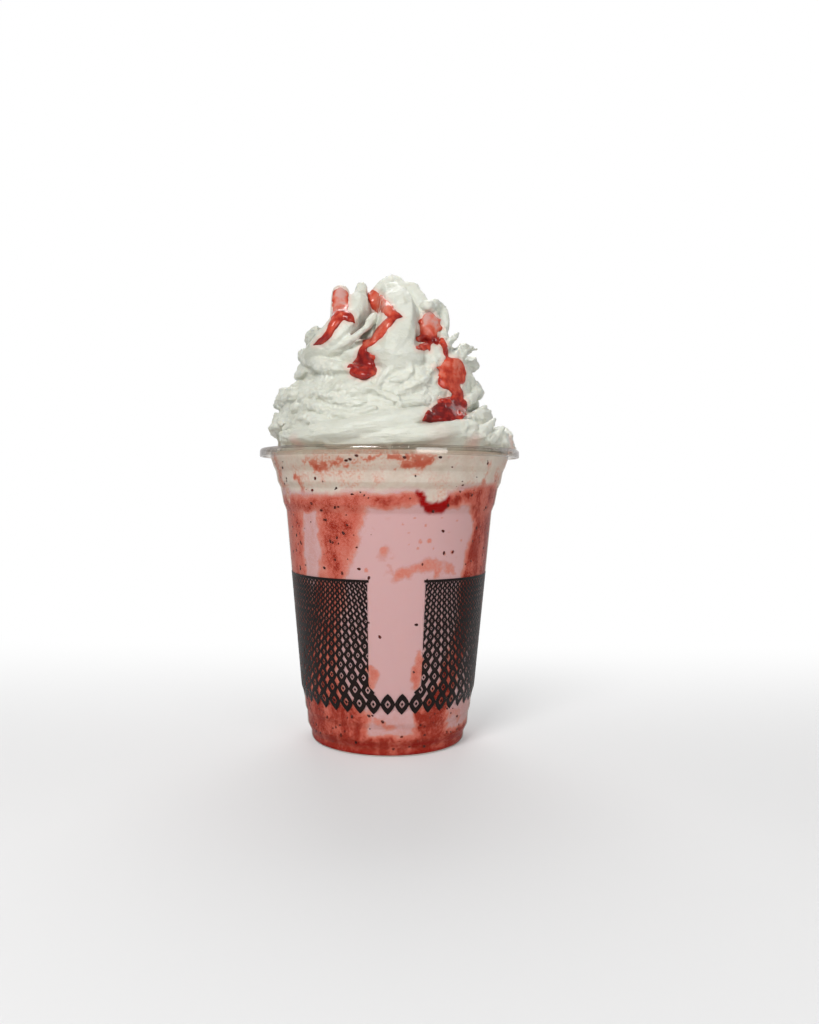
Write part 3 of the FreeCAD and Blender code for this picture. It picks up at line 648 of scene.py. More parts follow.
cream = {
    "voxel": 0.47 * mm, "shrink": 1.1, "squashFrom": 142, "squashed": 0.5, "rounds": 1, "kept": 0.61,
    "lump": 6.0, "lumpDepth": 0.9, "tear": 3.3, "tearDepth": 0.46, "crumb": 1.6, "crumbDepth": 0.22,     # mm
    "rolledOut": 34, "climb": 3.0,              # mm: the mound's radius for its pattern, its rise each radian
    "narrowed": 0.012, "drawnIn": 0.96, "reachesDown": 4 * mm, "curls": 170,
    # Turns of the piped rope: tilt up from the middle of the fill, rope radius, first and last bearing
    "turns": [(6, 5.6, 66, 288), (21, 5.4, 60, 300), (37, 5.0, 72, 292), (50, 4.6, 84, 285)],
    # Strokes of the nozzle and the curls it pulled: (x, y, z, radius) in mm along each
    "strokes": {
        "finger": [(-17.5, -19.5, 150, 4.5), (-18.5, -16.0, 158.0, 3.5), (-18.5, -14.0, 162.6, 3.4),
            (-18.3, -12.8, 165.6, 3.2)],
        "lobeTwo": [(-10.9, -10.2, 168.2, 2.3), (-11.2, -12.0, 164.6, 3.0), (-12.0, -14.5, 160.9, 4.4),
            (-13.3, -16.8, 156.2, 5.4), (-17.3, -22.0, 149.8, 6.2), (-22.8, -20.3, 145.5, 5.4),
            (-28.2, -15.8, 142.6, 3.8)],
        "leftNub": [(-31.8, -5.3, 143.4, 3.0), (-26.1, -18.7, 138.6, 3.2), (-19.8, -26.8, 135.8, 3.1),
            (-14.0, -30.3, 135.0, 2.4)],
        "crest": [(-5.0, -9.2, 164.2, 2.3), (-3.4, -8.1, 168.0, 2.8), (0.8, -5.0, 171.6, 2.7),
            (4.1, -6.0, 168.8, 3.0), (8.2, -5.7, 169.2, 2.5)],
        "mainBody": [(1.1, -10.5, 164.4, 5.8), (2.6, -18.8, 157.4, 7.1), (1.9, -25.0, 149.1, 7.7),
            (0.5, -28.0, 142.3, 7.6)],
        "backTop": [(-9, 12, 148, 7.5), (-9, 9, 158, 5.5), (-7, 6, 164, 3.8), (-5, 4, 168.5, 2.6)],
        "backSide": [(8, 14, 146, 7.5), (9, 10, 156, 6.5), (8, 5, 163, 4.6), (6, 2, 168, 2.8)],
        "backCrest": [(-16, 4, 146, 5.5), (-15, 4, 151, 4.4), (-13, 3, 155, 3.2)],
        "topTurn": [(15, -3, 148, 4), (14, 6, 151, 4.6), (5, 12, 152, 4.8), (-6, 11, 154, 4.6),
            (-12, 4, 156, 4.0), (-12, -4, 158, 3.0)],
        "peak": [(0.6, -5.6, 169.5, 2.6), (0.9, -5.2, 171.6, 1.7), (1.3, -4.8, 173.0, 0.8)],
        "bridge": [(-7, -9, 156, 5), (-7, -8, 161, 4.4), (-6.5, -7, 165, 2.6)],
        "gully": [(8.0, -9, 162.5, 3.2), (10.0, -12.5, 156.5, 4.6), (11.0, -14.5, 150.5, 5.0)],
        "underCap": [(16.5, -6, 158.5, 3.2), (13, -9.5, 158.5, 4.8), (14, -12, 152, 6), (17, -11, 145, 6)],
        "core": [(0, 2, 140, 12), (0, 0, 152, 9), (1, -2, 162, 6)],
        "shoulder": [(8.0, -6, 168, 3.0), (10.5, -9, 163.5, 3.2), (11.5, -13, 158.5, 3.2)],
        "rightCap": [(13.2, -15.6, 160.4, 2.2), (16.8, -8.1, 162.0, 2.6), (19.6, -5.8, 158.7, 2.6),
            (19.6, -12.7, 152.8, 2.0), (18.7, -22.0, 147.6, 1.4)],
        "flapOne": [(18.9, -22.3, 144.5, 2.0), (21.6, -19.5, 147.2, 1.4), (24.8, -13.0, 151.0, 0.9)],
        "flapTwo": [(21.9, -20.3, 139.2, 3.0), (25.4, -15.2, 143.4, 2.8), (29.1, -8.2, 145.9, 1.9),
            (32.6, -2.4, 146.6, 0.8)],
        "centre": [(-3.7, -29.4, 141.4, 4.8), (1.5, -29.6, 139.7, 5.5), (7.5, -27.6, 140.4, 4.6)],
        "hook": [(-4.5, -36.4, 128.2, 1.0), (-2.5, -34.4, 132.5, 1.4), (0.9, -32.9, 135.5, 1.8),
            (4.7, -32.3, 137.0, 1.8), (7.4, -32.2, 136.3, 1.5), (6.7, -33.1, 133.8, 1.4),
            (4.0, -34.3, 131.9, 1.4), (0.9, -35.2, 131.1, 1.0)],
        "sweepOne": [(-37.9, -18.5, 111.9, 2.5), (-24.0, -34.6, 112.5, 3.3), (-10.1, -40.8, 114.2, 3.9),
            (3.3, -40.5, 117.0, 3.6), (11.8, -37.3, 119.7, 2.7)],
        "sweepTwo": [(-20.4, -36.7, 109.7, 2.0), (-3.3, -42.0, 111.0, 3.0), (13.4, -41.4, 112.8, 3.2),
            (27.7, -31.2, 115.8, 2.6)],
        "ridgeA": [(-31.9, -24.9, 125.7, 1.1), (-26.2, -29.3, 127.1, 1.5), (-20.0, -33.7, 124.9, 1.9),
            (-13.7, -37.0, 122.6, 1.5), (-8.5, -37.7, 123.2, 1.0)],
        "ridgeB": [(-34.9, -23.4, 121.6, 1.1), (-27.9, -29.8, 122.8, 1.5), (-20.6, -35.1, 120.0, 1.5),
            (-12.9, -39.2, 118.7, 1.3), (-5.1, -39.1, 121.1, 1.0)],
        "ridgeC": [(-13.1, -35.6, 126.8, 1.4), (-7.6, -36.0, 128.2, 1.9), (-2.1, -36.7, 126.1, 1.5),
            (2.6, -36.8, 124.1, 1.0)],
        "ridgeD": [(-37.6, -20.7, 115.4, 1.1), (-31.5, -28.5, 118.4, 1.3), (-24.7, -34.7, 116.9, 1.5),
            (-16.9, -39.2, 115.6, 1.0)],
        "ridgeE": [(3.3, -35.8, 126.9, 1.4), (8.5, -33.7, 129.2, 1.9), (13.0, -31.4, 132.3, 1.5),
            (16.0, -27.1, 137.1, 1.1)],
        "ridgeF": [(3.3, -37.5, 122.0, 1.4), (8.5, -35.1, 123.6, 1.6), (13.0, -32.5, 125.3, 1.4)],
        "foldEdge": [(-5.6, -24.2, 155.4, 1.4), (-8.6, -29.1, 149.7, 1.5), (-14.2, -27.4, 145.8, 1.6),
            (-21.5, -23.4, 142.2, 1.5), (-26.9, -18.2, 140.1, 1.1)],
        "rightStep": [(28.9, -12.1, 135.0, 2.0), (30.7, -8.7, 131.8, 1.8), (29.9, -9.7, 128.0, 1.8),
            (31.1, -7.2, 125.1, 1.8)],
        "hornA": [(28.5, -24.2, 118.6, 2.4), (31.6, -18.4, 120.8, 1.8), (35.2, -12.0, 124.2, 0.9)],
        "hornB": [(31.5, -29.5, 113.4, 2.3), (34.4, -24.3, 115.7, 1.8), (37.6, -19.4, 119.0, 0.9)],
        "hornC": [(34.9, -26.1, 110.9, 2.0), (37.6, -23.2, 112.6, 1.5), (40.6, -20.2, 115.9, 0.9)],
        "hornD": [(38.0, -18.0, 110.9, 2.0), (40.6, -14.2, 112.4, 1.5), (43.6, -10.8, 114.2, 0.9)],
        "hornE": [(27.0, -20.0, 124.6, 2.2), (30.4, -14.2, 127.4, 1.7), (33.4, -9.8, 130.4, 0.9)],
        "rimSpill": [(33.5, -26.8, 111.3, 2.4), (38.6, -19.3, 110.9, 2.0), (43.5, -9.8, 110.8, 1.8),
            (45.9, -2.4, 110.4, 1.4)],
    },
}


def along(points, each):
    # Smooth curve through the points, each several steps long.
    path = [np.array(p, float) for p in points]
    path = [2 * path[0] - path[1]] + path + [2 * path[-1] - path[-2]]
    curve = []
    for i in range(1, len(path) - 2):
        a, b, c, d = path[i - 1:i + 3]
        for s in range(each):
            t = s / each
            curve.append(0.5 * (2 * b + (c - a) * t + (2 * a - 5 * b + 4 * c - d) * t * t
                                + (3 * b - 3 * c + d - a) * t ** 3))
    curve.append(path[-2])
    return curve


def roundEnd(ring, way):
    centre, tangent, normal, r = ring
    return [(centre + tangent * (way * r * math.sin(q)), tangent, normal, r * math.cos(q))
            for q in (0.5, 1.0, 1.4)]


def stroke(points, verts, faces, sides=14, ribs=0.07, turn=0.3):
    # A rope with round ends and soft ribs, as a star nozzle leaves it.
    curve = along(points, 5)
    start = len(verts)
    normal = None
    rings = []
    for i, p in enumerate(curve):
        ahead = curve[min(i + 1, len(curve) - 1)] - curve[max(i - 1, 0)]
        tangent = Vector(ahead[:3]).normalized()
        if normal is None:
            normal = tangent.orthogonal().normalized()
        normal = (normal - tangent * normal.dot(tangent)).normalized()
        rings.append((Vector(p[:3]), tangent, normal.copy(), max(0.3, p[3])))
    rings = roundEnd(rings[0], -1)[::-1] + rings + roundEnd(rings[-1], 1)
    for i, (centre, tangent, normal, r) in enumerate(rings):
        across = tangent.cross(normal)
        for k in range(sides):
            a = 2 * math.pi * k / sides
            ribbed = r * (1 + ribs * math.cos(5 * a + turn * i))
            verts.append((centre + normal * (ribbed * math.cos(a)) + across * (ribbed * math.sin(a))) * mm)
    faces.extend(gridFaces(len(rings), sides, start))
    faces.append(tuple(start + k for k in range(sides))[::-1])
    faces.append(tuple(start + (len(rings) - 1) * sides + k for k in range(sides)))


print("cream: body and strokes")
source = bmesh.new()
source.from_mesh(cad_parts["whipped_cream"].data)
bmesh.ops.remove_doubles(source, verts=source.verts, dist=0.01 * mm)
source.normal_update()
bodyTree = BVHTree.FromBMesh(source)
shape = []
for v in source.verts:
    p = (v.co - v.normal * cream["shrink"] * mm) / mm
    over = p.z - cream["squashFrom"]            # above this the top is all strokes, with gaps between them
    if over > 0:
        inwards = 1 - cream["narrowed"] * over
        p = Vector((p.x * inwards, p.y * inwards, cream["squashFrom"] + over * cream["squashed"]))
    shape.append(p * mm)
shape = np.array(shape)
inCup = shape[:, 2] < fillLevel
shape[inCup, :2] *= cream["drawnIn"]
shape[:, 2] = np.maximum(shape[:, 2], fillLevel - cream["reachesDown"])
verts = [Vector(v) for v in shape]
faces = [tuple(v.index for v in f.verts) for f in source.faces]
source.free()
for name, points in cream["strokes"].items():
    if name.startswith("ridge") or name == "hook":      # low folds, mostly under the surface
        points = [(x - x / math.hypot(x, y) * r * 0.5, y - y / math.hypot(x, y) * r * 0.5, z, r)
                  for x, y, z, r in points]
    stroke(points, verts, faces)

rng = random.Random(23)


def onBody(bearingDegrees, tilt):
    # Point of the plain mound in a direction from its foot, in mm.
    a, e = math.radians(bearingDegrees - 90), math.radians(tilt)
    aim = Vector((math.cos(e) * math.cos(a), math.cos(e) * math.sin(a), math.sin(e)))
    start = Vector((0, 0, fillLevel))
    hit = bodyTree.ray_cast(start + aim * 0.2, -aim)[0]
    return (hit if hit else start + aim * 0.04) / mm, aim


for i in range(cream["curls"]):                 # curls and torn edges all over, longest low down
    b, tilt = rng.uniform(-180, 180), rng.uniform(4, 74)
    front = abs(b) < 75
    if front and tilt > 35 or abs(b) < 60 and rng.random() < 0.45:
        continue
    size = rng.uniform(0.5, 0.9 if front else 1.1)
    reach = rng.uniform(3, 8 if front else 12) / 40 * 57.3
    rise = rng.uniform(-5, 9)
    points = []
    if onBody(b, tilt)[0].z > 138:
        continue
    for s in range(4):
        p, aim = onBody(b + reach * s / 3, tilt + rise * s / 3 + rng.uniform(-1, 1))
        lift = rng.uniform(-1.1, -0.2)
        points.append((*(p + aim * lift), size * (0.6 + 0.5 * math.sin(math.pi * (s + 0.5) / 4))))
    stroke(points, verts, faces, sides=8)
for tilt, size, first, last in cream["turns"]:   # the piped rope, turn by turn round the sides and back
    points = []
    for step in range(15):
        t = step / 14
        r = size * min(1.0, 0.5 + 4 * t, 0.5 + 4 * (1 - t)) * rng.uniform(0.93, 1.07)
        p, aim = onBody(first + (last - first) * t, tilt + 8 * t + rng.uniform(-1.2, 1.2))
        points.append((*(p - aim * r * 0.5), r))
    stroke(points, verts, faces, sides=20, ribs=0.11, turn=0.1)

whippedCream = newPiece("whippedCream", verts, faces, None)
remesh(whippedCream, cream["voxel"], cream["rounds"])
keepLargest(whippedCream)
bm = bmesh.new()                                # its underside, inside the cup, needs only one face
bm.from_mesh(whippedCream.data)
under = [v for v in bm.verts if v.co.z < fillLevel - 3.4 * mm]
bmesh.ops.delete(bm, geom=under, context="VERTS")
bmesh.ops.holes_fill(bm, edges=[e for e in bm.edges if e.is_boundary], sides=0)
bm.to_mesh(whippedCream.data)
bm.free()
print("cream: remeshed,", len(whippedCream.data.vertices), "corners")

calm = [        # broad smooth folds: (x, y, z, reach in mm)
    (-12, -17, 158, 7), (-18, -22, 151, 8), (-25, -19, 145, 6), (2, -26, 150, 9), (1, -30, 141, 8),
    (3, -18, 160, 7),
    (-18, -38, 112, 8), (-4, -42, 113, 8), (8, -41, 115, 7), (18, -37, 113, 6), (-30, -29, 110, 6),
    (-18, -13, 163, 6), (-19, -10, 169, 5), (-11, -9, 169, 5), (1, -7, 171, 5), (34, -16, 123, 6),
    (37, -20, 116, 6),
    (42, -12, 113, 5), (8, -6, 168, 8), (12, -9, 162, 6), (19, -10, 156, 5),
]


def tornness(x, y, z):
    # 0 on the smooth folds, 1 where the cream was pulled and broke.
    torn = (1.0 if z < 136 or x > 10 else 0.75) - 0.4 * smoothStep(-2, 14, y)
    for cx, cy, cz, reach in calm:
        near = 1 - math.sqrt((x - cx) ** 2 + (y - cy) ** 2 + (z - cz) ** 2) / (reach * 1.5)
        torn = min(torn, 1 - 0.85 * min(1, max(0, near * 2.2)))
    return torn


mesh = whippedCream.data
co = coordinates(mesh)
moved = co.copy()
normals = np.zeros(len(mesh.vertices) * 3)
mesh.vertices.foreach_get("normal", normals)
normals = normals.reshape(-1, 3)


def creamDepth(x, y, z, a, torn):
    # The pattern is drawn out along the way the rope was laid.
    swirl = Vector((a * cream["rolledOut"] * 0.7, z - a * cream["climb"], math.hypot(x, y)))
    swirl += noise.noise_vector(swirl / 4.0) * 1.6
    lump = noise.fractal(swirl / cream["lump"], 0.9, 2.1, 3)
    tear = noise.ridged_multi_fractal(swirl / cream["tear"], 0.9, 2.2, 4, 1.0, 2.0) - 1.1
    crumb = noise.ridged_multi_fractal(Vector((x, y, z)) / cream["crumb"], 0.8, 2.1, 2, 1.0, 2.0) - 1.0
    crinkled = 1 + 0.7 * smoothStep(8, 20, -x) * (1 - smoothStep(128, 138, z)) * smoothStep(0, 10, -y)
    return (lump * cream["lumpDepth"] * (0.35 + 0.65 * torn) + tear * cream["tearDepth"] * torn
            + crumb * cream["crumbDepth"] * crinkled * (0.15 + 0.85 * torn))


for i, (x, y, z) in enumerate(co / mm):
    a = math.atan2(x, -y)
    torn = tornness(x, y, z)
    depth = creamDepth(x, y, z, a, torn)
    behind = abs(a) - math.pi + 0.35
    if behind > 0:                              # the pattern meets itself at the back
        other = creamDepth(x, y, z, a - math.copysign(2 * math.pi, a), torn)
        depth += (other - depth) * behind / 0.7
    if z < 107.5:
        depth = min(depth, 0)
    moved[i] += normals[i] * depth * mm
mesh.vertices.foreach_set("co", moved.ravel())
mesh.update()
thinned = whippedCream.modifiers.new("thinned", "DECIMATE")
thinned.ratio = cream["kept"]
applyModifiers(whippedCream)
mesh = whippedCream.data
x, y, z = (coordinates(mesh) / mm).T
a = np.arctan2(x, -y)
flow = mesh.attributes.new("laid", "FLOAT_VECTOR", "POINT")
laid = np.stack([a * cream["rolledOut"] * 0.2, z - a * cream["climb"], np.hypot(x, y)], axis=-1)
flow.data.foreach_set("vector", laid.astype(np.float32).ravel())
creamTree = treeOf(mesh)
print("cream: surface torn")


sauce = {
    "voxel": 0.34 * mm, "pulp": 2.8, "sunk": 0.5,           # mm below the cream, so no gap shows
    "wider": 1.3, "rise": 0.85, "heavy": 2.0,   # shares of width and thickness; mm where it counts as thick
    "film": "#c1928a", "thin": "#c86c58", "middle": "#bd4530", "deep": "#93221a", "thick": "#640f0f",
    # Each run is overlapping ribbons: (x, z, width, thickness) in mm from the front, and how dark it looks
    "left": [
        [(-18.3, 167.3, 3.2, 0.7, 0.1), (-18.3, 164.6, 4.6, 0.8, 0.06), (-18.1, 160.1, 4.8, 1.1, 0.12),
            (-18.0, 156.5, 4.7, 1.3, 0.55), (-19.6, 152.4, 3.2, 1.2, 0.5), (-21.0, 149.0, 2.5, 1.1, 0.6),
            (-23.4, 146.4, 2.1, 1.0, 0.7), (-27.6, 144.6, 1.1, 0.7, 0.8)],
        [(-17.3, 156.8, 2.9, 1.2, 0.7), (-14.8, 154.3, 2.8, 1.4, 0.7), (-12.2, 151.8, 1.0, 0.8, 0.7)],
    ],
    "front": [
        [(-7.4, 167.6, 3.3, 1.2, 0.42), (-5.0, 162.5, 4.3, 1.4, 0.36), (-2.5, 158.8, 3.8, 1.3, 0.24),
            (0.1, 155.3, 3.5, 1.4, 0.5), (2.2, 154.1, 2.5, 1.2, 0.75), (4.6, 153.6, 0.7, 0.7, 0.7)],
        [(2.5, 154.1, 2.1, 1.2, 0.7), (-0.6, 151.3, 2.8, 1.4, 0.5), (-3.7, 148.1, 3.5, 1.5, 0.42),
            (-7.1, 145.3, 3.8, 1.6, 0.45), (-9.6, 143.0, 3.1, 1.5, 0.6)],
        [(-8.9, 144.0, 2.8, 1.4, 0.6), (-9.6, 142.0, 2.4, 1.4, 0.65), (-9.2, 139.6, 4.9, 1.9, 0.88),
            (-9.2, 137.1, 6.6, 2.6, 0.92), (-9.1, 134.0, 7.6, 3.2, 0.76), (-9.0, 131.0, 4.4, 2.6, 0.7)],
        [(-6.4, 139.8, 1.7, 1.2, 0.6), (-5.0, 138.4, 1.0, 0.8, 0.5)],
        [(-12.7, 137.3, 1.7, 1.0, 0.7), (-15.1, 135.3, 0.7, 0.7, 0.7)],
    ],
    "right": [
        [(15.0, 158.4, 4.6, 0.9, 0.1), (14.6, 154.5, 6.8, 1.2, 0.08), (14.5, 150.3, 5.3, 1.2, 0.4),
            (15.9, 147.6, 2.8, 1.2, 0.72), (18.4, 146.1, 2.1, 1.1, 0.6), (19.6, 143.8, 1.8, 1.0, 0.6),
            (20.0, 140.6, 2.1, 1.2, 0.6)],
        [(13.8, 148.5, 2.5, 1.2, 0.7), (10.9, 148.0, 2.1, 1.2, 0.65), (8.1, 147.2, 1.0, 0.8, 0.6)],
        [(14.8, 147.2, 2.5, 1.2, 0.7), (12.4, 144.6, 2.4, 1.3, 0.6), (9.9, 143.1, 2.1, 1.2, 0.6),
            (8.9, 142.3, 1.0, 0.8, 0.6)],
        [(14.1, 144.4, 1.1, 0.8, 0.6), (13.8, 142.3, 0.7, 0.6, 0.6)],
        [(20.3, 140.7, 3.5, 1.2, 0.55), (21.5, 137.9, 8.4, 1.5, 0.38), (21.4, 135.0, 9.0, 1.6, 0.42),
            (20.6, 132.2, 6.0, 1.6, 0.5), (22.8, 130.0, 4.2, 1.5, 0.48), (24.4, 127.7, 3.2, 1.4, 0.5),
            (23.6, 125.8, 4.2, 1.4, 0.65)],
        [(25.3, 138.4, 2.9, 1.2, 0.42), (27.3, 137.6, 1.4, 1.0, 0.4)],
        [(16.2, 124.4, 1.0, 0.8, 0.7), (19.8, 125.0, 2.1, 1.2, 0.7), (23.2, 125.0, 3.2, 1.4, 0.7)],
        [(10.7, 116.7, 1.0, 1.0, 0.8), (13.8, 118.3, 3.4, 1.8, 0.95), (17.3, 120.1, 5.5, 2.6, 1.0),
            (21.4, 121.3, 6.9, 3.0, 0.95), (25.2, 121.7, 7.2, 3.0, 0.8), (27.4, 121.0, 4.9, 2.4, 0.45)],
    ],
}
# Strawberry sauce: wet and glossy, pinkish where it is a film over cream, nearly black-red where it is thick.
wetSauce, tree = startMaterial("strawberrySauceWet")
place = addNode(tree, "TexCoord").outputs["Object"]
toneHere = addNode(tree, "Attribute", {"attribute_name": "tone"}).outputs["Fac"]
pulp = addNode(tree, "TexNoise", {"Scale": 1000 / sauce["pulp"], "Detail": 3.0}, {"Vector": place})
pulpShift = addNode(tree, "Math", {"operation": "MULTIPLY_ADD", 1: 1.15, 2: -0.56}, {0: pulp})
thickness = addNode(tree, "Math", {"operation": "ADD", "use_clamp": True}, {0: toneHere, 1: pulpShift})
sauceTone = addNode(tree, "ValToRGB", {"stops": [
    (0.05, sauce["film"]), (0.28, sauce["thin"]), (0.5, sauce["middle"]), (0.75, sauce["deep"]),
    (1.0, sauce["thick"])]}, {"Fac": thickness})
wet = addNode(tree, "BsdfPrincipled", {"Roughness": 0.12, "IOR": 1.4, "Subsurface Weight": 0.12,
              "Subsurface Radius": (0.002, 0.0004, 0.0003), "Subsurface Scale": 0.4,
              "Specular IOR Level": 0.3, "Coat Weight": 0.25,
              "Coat Roughness": 0.03}, {"Base Color": sauceTone})
addNode(tree, "OutputMaterial", {}, {"Surface": wet})


def creamFront(x, z):
    # Depth in mm of the cream's front at a place, or not a number beside it.
    hit = creamTree.ray_cast(Vector((x * mm, -0.2, z * mm)), Vector((0, 1, 0)))[0]
    return hit.y / mm if hit else float("nan")


def ragged(x, z, side, thickness):
    # How far the edge runs in or out here; the two edges differ.
    spot = Vector((x / 2.6, z / 2.6, 9.0 if side > 0 else 2.0))
    return 1 + (0.26 if thickness < sauce["heavy"] else 0.1) * noise.fractal(spot, 1.0, 2.0, 2)


def evened(bed, rounds):
    for _ in range(rounds):
        padded = np.pad(bed, 1, mode="edge")
        around = padded[:-2, 1:-1] + padded[2:, 1:-1] + padded[1:-1, :-2] + padded[1:-1, 2:]
        bed = 0.5 * bed + 0.125 * around
    return bed


def ribbon(points, verts, faces, lanes=8):
    # A domed ribbon laid on the front of the cream; it bridges the small hollows as liquid does.
    curve = along([(x, z, w * sauce["wider"], t) for x, z, w, t, _ in points], 8)
    spine, sideways = [], []
    for i, p in enumerate(curve):
        ahead = curve[min(i + 1, len(curve) - 1)] - curve[max(i - 1, 0)]
        across = np.array([-ahead[1], ahead[0]])
        across /= max(1e-6, np.hypot(*across))
        sideways.append(across)
        row = []
        for k in range(lanes + 1):
            v = 2 * k / lanes - 1
            v *= ragged(p[0], p[1], v, p[3])
            row.append(creamFront(p[0] + across[0] * v * p[2] / 2, p[1] + across[1] * v * p[2] / 2))
        spine.append(row)
    ys = np.array(spine)
    lane = np.arange(lanes + 1)
    for row in ys:                              # past the cream's edge the ribbon keeps its nearest depth
        known = ~np.isnan(row)
        if known.any():
            row[:] = np.interp(lane, lane[known], row[known])
    ys = np.where(np.isnan(ys), np.nanmean(ys), ys)
    heavy = max(p[3] for p in curve) > sauce["heavy"]       # it levels itself over the cream's crinkles
    level, cover = evened(ys, 6 if heavy else 5), evened(ys, 2 if heavy else 0)
    start = len(verts)
    for i, (p, across) in enumerate(zip(curve, sideways)):
        ends = min(1.0, math.sqrt(min(i, len(curve) - 1 - i) / 5 + 0.05))
        for face in (0, 1):
            for k in range(lanes + 1):
                v = 2 * k / lanes - 1
                out = v * ragged(p[0], p[1], v, p[3]) * ends * p[2] / 2
                x, z = p[0] + across[0] * out, p[1] + across[1] * out
                rise = p[3] * ends * sauce["rise"] * (1 - v * v) ** 0.8 + 0.1
                if face == 0:
                    y = max(level[i, k], ys[i, k]) + sauce["sunk"]
                else:
                    y = min(level[i, k], cover[i, k] + 0.25) - rise
                verts.append(Vector((x, y, z)) * mm)
    wide = lanes + 1
    for i in range(len(curve) - 1):
        a, b = start + i * 2 * wide, start + (i + 1) * 2 * wide
        for k in range(lanes):
            faces.append((a + k, a + k + 1, b + k + 1, b + k))
            faces.append((a + wide + k + 1, a + wide + k, b + wide + k, b + wide + k + 1))
        faces.append((a, b, b + wide, a + wide))
        faces.append((a + lanes, a + wide + lanes, b + wide + lanes, b + lanes))
    for a in (start, start + (len(curve) - 1) * 2 * wide):
        faces.append(tuple([a + k for k in range(wide)] + [a + wide + k for k in reversed(range(wide))]))


def toneAt(x, z, ribbons):
    # How dark the sauce looks at a place; a thin film is darker along its edge, where it has gathered.
    nearest, tone = 1e9, 0.5
    for points in ribbons:
        for (x0, z0, w0, _, t0), (x1, z1, w1, _, t1) in zip(points, points[1:]):
            dx, dz = x1 - x0, z1 - z0
            t = min(1, max(0, ((x - x0) * dx + (z - z0) * dz) / (dx * dx + dz * dz)))
            away = math.hypot(x - x0 - dx * t, z - z0 - dz * t) / ((w0 + (w1 - w0) * t) * sauce["wider"] / 2)
            if away < nearest:
                nearest, tone = away, t0 + (t1 - t0) * t
    edge = min(1, max(0, (nearest - 0.5) / 0.4))
    return tone + edge * (0.42 if tone < 0.2 else 0.12 if tone < 0.6 else -0.1)


for side in ("left", "front", "right"):
    verts, faces = [], []
    for points in sauce[side]:
        ribbon(points, verts, faces)
    run = newPiece("sauceRun" + side.capitalize(), verts, faces, None)
    remesh(run, sauce["voxel"], 12)
    keepLargest(run)
    run.data.materials.clear()
    run.data.materials.append(wetSauce)
    tones = [toneAt(x / mm, z / mm, sauce[side]) for x, _, z in coordinates(run.data)]
    storeAmount(run.data, "tone", np.array(tones))
    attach(run, "root")
    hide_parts("sauce_run_" + side)
    sauce[side + "Piece"] = run
print("sauce runs finished")


creamLook = {
    "colour": "#d0d1c6", "hollow": "#c2c3b6", "blush": "#d9a79a",
    "cloud": 14, "grain": 0.6, "lines": 0.75,   # sizes in mm
    # where the rim is smeared pink: (x, y, z, radius, strength)
    "pinkSpots": [(-33, -28, 109, 4, 0.5), (16, -40, 111, 6, 0.25), (30, -33, 109, 4, 0.6),
        (44, -8, 109.5, 6, 0.6), (-20, 30, 110, 7, 0.5), (25, 32, 112, 8, 0.4)],
}
# Whipped cream: fluffy, fat and air, so light scatters in it and it has no sharp gloss.
softCream, tree = startMaterial("whippedDairyCream")
place = addNode(tree, "TexCoord").outputs["Object"]
blushHere = addNode(tree, "Attribute", {"attribute_name": "blush"}).outputs["Fac"]
cloud = addNode(tree, "TexNoise", {"Scale": 1000 / creamLook["cloud"], "Detail": 3.0}, {"Vector": place})
tone = addNode(tree, "ValToRGB", {"stops": [(0.3, creamLook["hollow"]), (0.6, creamLook["colour"])]},
               {"Fac": cloud})
blushed = addNode(tree, "Mix", {"data_type": "RGBA", 7: creamLook["blush"]},
                  {0: blushHere, 6: tone}).outputs[2]
grainNoise = addNode(tree, "TexNoise", {"Scale": 1000 / creamLook["grain"], "Detail": 3.0}, {"Vector": place})
laidAlong = addNode(tree, "Attribute", {"attribute_name": "laid"}).outputs["Vector"]
lines = addNode(tree, "TexNoise", {"Scale": 1 / creamLook["lines"], "Detail": 3.0, "Distortion": 0.3},
                {"Vector": laidAlong})
lineBump = addNode(tree, "Bump", {"Strength": 0.6, "Distance": 0.0005}, {"Height": lines})
grainBump = addNode(tree, "Bump", {"Strength": 0.4, "Distance": 0.0003},
                    {"Height": grainNoise, "Normal": lineBump})
fluff = addNode(tree, "BsdfPrincipled", {"Roughness": 0.38, "IOR": 1.4, "Specular IOR Level": 0.5,
                "Subsurface Weight": 0.35, "Subsurface Radius": (0.002, 0.0016, 0.0012),
                "Subsurface Scale": 0.3},
                {"Base Color": blushed, "Normal": grainBump})
addNode(tree, "OutputMaterial", {}, {"Surface": fluff})
whippedCream.data.materials.clear()
whippedCream.data.materials.append(softCream)

print("cream: blush")
sauceTrees = [treeOf(sauce[side + "Piece"].data) for side in ("left", "front", "right")]
co = coordinates(whippedCream.data)
blush = np.zeros(len(co))
for i, p in enumerate(co):
    near = min(t.find_nearest(Vector(p), 0.004)[3] or 0.004 for t in sauceTrees)
    blush[i] = 0.5 * max(0, 1 - near / 0.0016)
for x, y, z, r, strength in creamLook["pinkSpots"]:
    away = np.linalg.norm(co / mm - np.array([x, y, z]), axis=1)
    blush = np.maximum(blush, strength * np.clip(1.3 - away / r, 0, 1))
storeAmount(whippedCream.data, "blush", blush)
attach(whippedCream, "root")
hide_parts("whipped_cream")
print("cream finished,", len(whippedCream.data.polygons), "faces")


studio = {
    "floor": "#e4e4e4", "paper": "#e8e8e8", "fadeFrom": -0.09, "fadeTo": 0.2,       # metres behind the axis
    "farFrom": 0.2, "farTo": 0.42,                             # metres from the axis, all round
    "key": (-0.36, -0.84, 0.84), "keyPower": 10.0, "keySize": 0.4,
    "fill": (0.72, -1.0, 0.4), "fillPower": 4.0, "fillSize": 0.6,
    "top": (0.0, 0.8, 1.05), "topPower": 5.6, "topSize": 0.7,
    "sky": 0.29,
}


